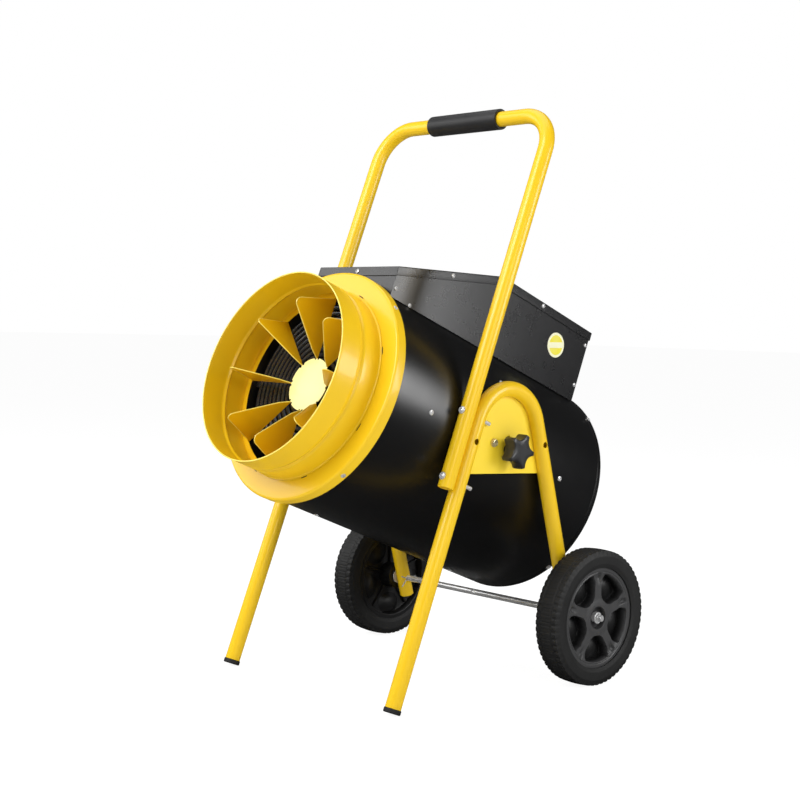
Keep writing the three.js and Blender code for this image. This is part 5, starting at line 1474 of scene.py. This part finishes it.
def dials():
    """A fluted cap: its radius ripples round the edge, and a bar with a white line crosses its face."""
    angle = full_turn(240)
    level = np.array((0, 0.6, 3.0, 14.0, 15.4, 16.0, 16.0))[:, None]
    base = np.array((18.0, 18.0, 17.4, 15.8, 15.0, 13.6, 0.01))[:, None]
    flute = 0.55 * (0.5 + 0.5 * np.cos(30 * angle)) * smooth(2.5, 4.5, level) * smooth(15.9, 14.5, level)
    for name, x in DIAL_XS.items():
        place = axis_place(on_heater(x, PANEL_FRONT, KNOB_H), -OUTLET)
        points = np.vstack((place(0.01, np.zeros((1, 1)), angle), place(base - flute, level, angle)))
        bar = rounded(bar_across(x, 2.0, -6.5, 14.5), 1.0)
        bar = slab(bar, lambda u, v, w: on_heater(u, PANEL_FRONT - 15.5 - w, v), 3.4)
        spindle = rod(on_heater(x, PANEL_FRONT + 1, KNOB_H), on_heater(x, PANEL_S + 14, KNOB_H), 3.0)
        dial = joined(grid(points, wrap_cols=True), bar, spindle)
        piece(f"{name}_dial", dial, KNOB_PLASTIC, name, [f"{name}_knob"])
        line = bar_across(x, 0.5, 3, 13.5)
        line = slab(line, lambda u, v, w: on_heater(u, PANEL_FRONT - 18.88 - w, v), 0.1)
        piece(f"{name}_pointer", line, WHITE_MARK, name)


def lamp():
    """A low turned lens on the panel, and its stem through it."""
    seat = on_heater(0, PANEL_FRONT, LAMP_H)
    lens = rounded([(0.01, 0), (7.5, 0), (7.5, 1.2), (6.4, 2.9), (0.01, 3.0)], [0, 0.3, 0.5, 0.8, 0])
    stem = rod(seat, on_heater(0, PANEL_S + 13.5, LAMP_H), 6.0)
    surface = joined(turned(lens, axis_place(seat, -OUTLET), 60), stem)
    piece("lamp_lens", surface, lamp_lens_finish(), "heater", ["indicator_lamp"])


def gland():
    """A six-sided body on the panel with a turned dome behind it, and a thread through the panel."""
    seat = on_heater(0, PANEL_FRONT, GLAND_H)
    place = axis_place(seat, -OUTLET)
    nut = hex_nut(seat, -OUTLET, 20.6, 12.0, GLAND_BORE)
    dome = rounded([(GLAND_BORE, 11.5), (9.6, 11.5), (9.6, 15), (6.4, 20), (GLAND_BORE, 20)],
                   [0, 0, 2.5, 1.0, 0.6], 5)
    thread = rounded([(GLAND_BORE, -11.5), (8, -11.5), (8, 0.5), (GLAND_BORE, 0.5)], [0.2, 0.6, 0, 0])
    surface = joined(nut, turned(dome, place, 60), turned(thread, place, 48))
    piece("gland_body", surface, KNOB_PLASTIC, "heater", ["cable_gland"])


def round_label():
    """A thin disc on the box's left wall."""
    centre = on_heater(WALL_HALF + 0.25, LABEL_S, LABEL_H)
    profile = [(0.01, 0), (LABEL_R - 0.2, 0), (LABEL_R, -0.25), (0.01, -0.25)]
    disc = turned(profile, axis_place(centre, ACROSS), 80)
    piece("round_label", disc, label_finish(centre), "heater")


# ---------------------------------------------------------------- pivots and tilt locks


def pivot_bolts():
    """A domed head with a round recess, on a long shank."""
    head = rounded([(0.01, 0), (6.5, 0), (6.5, 1.4), (5.0, 4.2), (3.2, 4.6), (3.0, 2.4), (0.01, 2.2)],
                   [0, 0.3, 0.9, 1.2, 0.5, 0.3, 0])
    for side, sign in SIDES:
        outwards = ACROSS * sign
        seat = side_view(PIVOT[1:], sign * (PLATE_OUTER + GAP))
        shank = rod(seat - outwards * SHANK, seat, STUD_R, 32)
        bolt = joined(turned(head, axis_place(seat, outwards), 56), shank)
        piece(f"pivot_screw_{side}", bolt, PASSIVATED, "heater", [f"pivot_bolt_{side}"])


def star_outline(angle):
    """A circle with five round bites, whose centres lie further out, softened where they meet."""
    middle, bite, rim, soft = 35.0, 17.6, 26.2, 0.8
    step = FULL_TURN / STAR_LOBES
    off_bite = np.abs((angle + math.radians(10.5) + step / 2) % step - step / 2) - step / 2
    inside_root = bite**2 - (middle * np.sin(off_bite)) ** 2
    bite_edge = middle * np.cos(off_bite) - np.sqrt(np.maximum(inside_root, 0))
    bite_edge = np.where(inside_root > 0, bite_edge, 40.0)
    return -soft * np.log(np.exp(-bite_edge / soft) + np.exp(-rim / soft))


def star_knobs():
    """The star's outline on several levels, each drawn in from it by that level's inset, and a flat
    face, on a turned neck. A stud runs through the plate's slot."""
    centre = (PIVOT - OUTLET * LOCK_OFFSET)[1:]
    angle = full_turn(260)
    level = np.array((0, 0, 0.5, 1.6, 9, 17.6, 18.8, 19.6, 20.0, 20.0, 20.0))[:, None]
    inset = np.array((99, 2.0, 1.0, 0.3, 0, 0.3, 0.6, 1.2, 2.2, 9, 99))[:, None]
    radius = np.maximum(star_outline(angle) - inset, 0)
    y, z = centre[0] + radius * np.cos(angle), centre[1] + radius * np.sin(angle)
    neck = rounded([(0.01, 0), (9, 0), (9, 5), (11.5, 10.5), (0.01, 10.5)], [0, 0.5, 2, 0.5, 0])
    for side, sign in SIDES:
        outwards = ACROSS * sign
        seat = side_view(centre, sign * (PLATE_OUTER + GAP))
        x = np.broadcast_to(seat[0] + sign * (STAR_NECK + level), y.shape)
        star = grid(np.stack((x, y, z), -1), wrap_cols=True)
        knob = joined(star, turned(neck, axis_place(seat, outwards), 56))
        piece(f"lock_star_{side}", knob, KNOB_PLASTIC, f"star_knob_{side}",
              [f"star_knob_{side}"], sharp=45)
        stud = rod(seat - outwards * SHANK, seat + outwards * 2, STUD_R, 32)
        piece(f"lock_stud_{side}", stud, FASTENER, f"star_knob_{side}")


# ---------------------------------------------------------------- screws


def drum_screw(s, degrees, reach=DRUM_R, radius=4.0):
    """A pan-head screw that stands on the drum's round."""
    angle = math.radians(degrees)
    way = ACROSS * math.cos(angle) + UPWARD * math.sin(angle)
    return pan_screw(on_heater(0, s, 0) + reach * way, way, radius, 2.0, spin=degrees + s)


def screws():
    """Pan-head screws where the drum, its flange, its rear ring and the box are held together."""
    left = [(127.4, 0), (-170.6, 0), (-22.5, 35.6), (-262.5, -46), (-262.5, 47.6)]
    under = [(-171, -90), (127.4, -90)]
    right = [(s, 180 - degrees) for s, degrees in left]
    surfaces = [drum_screw(s, degrees) for s, degrees in (*left, *right, *under)]
    surfaces += [drum_screw(FLANGE_FACE - 10, degrees, FLANGE_R, 3.6) for degrees in (45, 135, 225, 315)]
    lid = [(88, 225.5), (-116, 262.5)]
    wall = [(186.0, 163), (151.6, 151), (-238.5, 244), (-238.5, 175)]
    for sign in (1, -1):
        way = ACROSS * sign
        surfaces += [pan_screw(on_heater(sign * BOX_HALF, s, h), way, 3.6, 2.0, spin=s) for s, h in lid]
        surfaces += [pan_screw(on_heater(sign * WALL_HALF, s, h), way, 3.2, 1.9, spin=s) for s, h in wall]
    surfaces.append(pan_screw(on_heater(0, BOX_FRONT, BOX_FRONT_H - LID_LIP / 2), OUTLET, 3.6, 2.0))
    for x in (-70, 70):
        surfaces.append(pan_screw(on_heater(x, BOX_BACK, BOX_TOP_H - LID_LIP / 2), -OUTLET, 3.6, 2.0))
        surfaces.append(pan_screw(on_heater(x, PANEL_S, 168.0), -OUTLET, 3.2, 1.8))
    piece("pan_screws", joined(*surfaces), FASTENER, "heater", sharp=45)


# ---------------------------------------------------------------- carried-over solids


def dress_solids():
    """Inner pieces keep their solids and take a finish."""
    finishes = {"element_support": GALVANISED, "motor_bracket": GALVANISED, "thermal_cutout": KNOB_PLASTIC,
                "contactor": CREAM_PLASTIC, "selector_switch": CREAM_PLASTIC,
                "thermostat_switch": CREAM_PLASTIC, "pivot_pad_left": BLACK, "pivot_pad_right": BLACK}
    for name, material in finishes.items():
        NODES[name].data.materials.clear()
        NODES[name].data.materials.append(material)


# ---------------------------------------------------------------- stage, light and camera


def camera():
    """The camera looks along the azimuth and elevation, and is rolled about its own axis."""
    a, e, r = (math.radians(v) for v in (AZIMUTH, ELEVATION, ROLL))
    back = np.array((math.sin(a) * math.cos(e), -math.cos(a) * math.cos(e), math.sin(e)))
    level = np.array((math.cos(a), math.sin(a), 0))
    right = level * math.cos(r) + np.cross(back, level) * math.sin(r)
    data = bpy.data.cameras.new("camera")
    data.sensor_width = SENSOR
    data.lens = SENSOR * FOCAL_WIDTHS
    data.clip_end = 100
    made = scene_object("camera", data)
    turn = np.eye(4)
    turn[:3, :3] = np.column_stack((right, np.cross(back, right), back))
    turn[:3, 3] = EYE * MM
    made.matrix_world = Matrix(turn.tolist())
    bpy.context.scene.camera = made


def either(tree, factor, first, second):
    """A mix of two shaders: the first where the factor is 0, the second where it is 1."""
    return node(tree, "ShaderNodeMixShader", {0: factor, 1: first.outputs[0], 2: second.outputs[0]})


def floor():
    """A wide floor, in metres, that the camera sees as almost white, with the shadow kept.
    Reflections see it dark."""
    reach = 40.0
    corners = [(-reach, -reach, 0), (reach, -reach, 0), (reach, reach, 0), (-reach, reach, 0)]
    mesh = bpy.data.meshes.new("floor")
    mesh.from_pydata(corners, [], [(0, 1, 2, 3)])
    made = scene_object("floor", mesh)
    material, tree, shader, where = new_material("floor_white")
    tone = placed(tree, MOTTLE, {"Vector": where, "Base": opaque((0.86,) * 3), "Tone": opaque((0.84,) * 3),
                                 "Scale": 2.0, "Rough": 0.7, "Spread": 0.05})
    painted(tree, shader, tone["Color"], tone["Roughness"])
    glow = node(tree, "ShaderNodeEmission", {"Color": WHITE, "Strength": 1.22})
    rays = node(tree, "ShaderNodeLightPath").outputs
    share = maths(tree, "MULTIPLY", rays["Is Camera Ray"], 0.76)
    lit = either(tree, share, shader, glow)
    dark = node(tree, "ShaderNodeBsdfDiffuse", {"Color": opaque((0.06,) * 3)})
    seen = either(tree, rays["Is Glossy Ray"], lit, dark)
    tree.links.new(seen.outputs[0], tree.nodes["Material Output"].inputs["Surface"])
    mesh.materials.append(material)


def softbox(name, centre, target, width, height, power):
    """A rectangular lamp that faces its target, in metres and watts."""
    data = bpy.data.lights.new(name, "AREA")
    data.shape = "RECTANGLE"
    data.size = width
    data.size_y = height
    data.energy = power
    centre, target = Vector(centre), Vector(target)
    facing = (target - centre).to_track_quat("-Z", "Y").to_matrix().to_4x4()
    scene_object(name, data).matrix_world = Matrix.Translation(centre) @ facing


def lights():
    """A white world for the camera, a soft one that lights the object, a dim one for reflections,
    and softboxes round the machine."""
    world = bpy.data.worlds.new("studio")
    bpy.context.scene.world = world
    world.use_nodes = True
    tree = world.node_tree
    soft = tree.nodes["Background"]
    soft.inputs["Color"].default_value = WHITE
    soft.inputs["Strength"].default_value = 0.27
    faint = node(tree, "ShaderNodeBackground", {"Color": WHITE, "Strength": 0.035})
    bright = node(tree, "ShaderNodeBackground", {"Color": WHITE, "Strength": 1.0})
    rays = node(tree, "ShaderNodeLightPath").outputs
    seen = either(tree, rays["Is Camera Ray"], either(tree, rays["Is Glossy Ray"], soft, faint), bright)
    tree.links.new(seen.outputs[0], tree.nodes["World Output"].inputs["Surface"])
    middle = (0, 0, 0.4)
    softbox("key", (-0.4, -2.9, 2.65), middle, 2.0, 2.3, 110)
    softbox("left", (-2.5, -1.7, 1.6), middle, 1.4, 1.8, 22)
    softbox("side", (3.0, -1.3, 1.3), middle, 1.6, 1.6, 22)
    softbox("rear", (1.64, 0.88, 0.80), (0.1, 0.0, 0.55), 0.8, 0.8, 15)
    softbox("top", (-0.4, 0.2, 3.0), middle, 2.4, 2.4, 24)


# ---------------------------------------------------------------- the whole machine

camera()
floor()
lights()
for build in (side_frames, foot_caps, side_plates, push_handle, handle_grip, handle_bolts, axle_bar,
              split_pins, hub_fasteners, tyres, wheel_discs, drum, rear_ring, inlet_grille, flange, collar,
              collar_slots, guide_vanes, bright_edges, vane_hub, heating_elements, heat_shield, motor, fan,
              box_walls, box_lid, rear_panel, dial_scales, dials, lamp, gland, round_label, pivot_bolts,
              star_knobs, screws, dress_solids):
    build()

bpy.context.scene.view_settings.view_transform = "Standard"
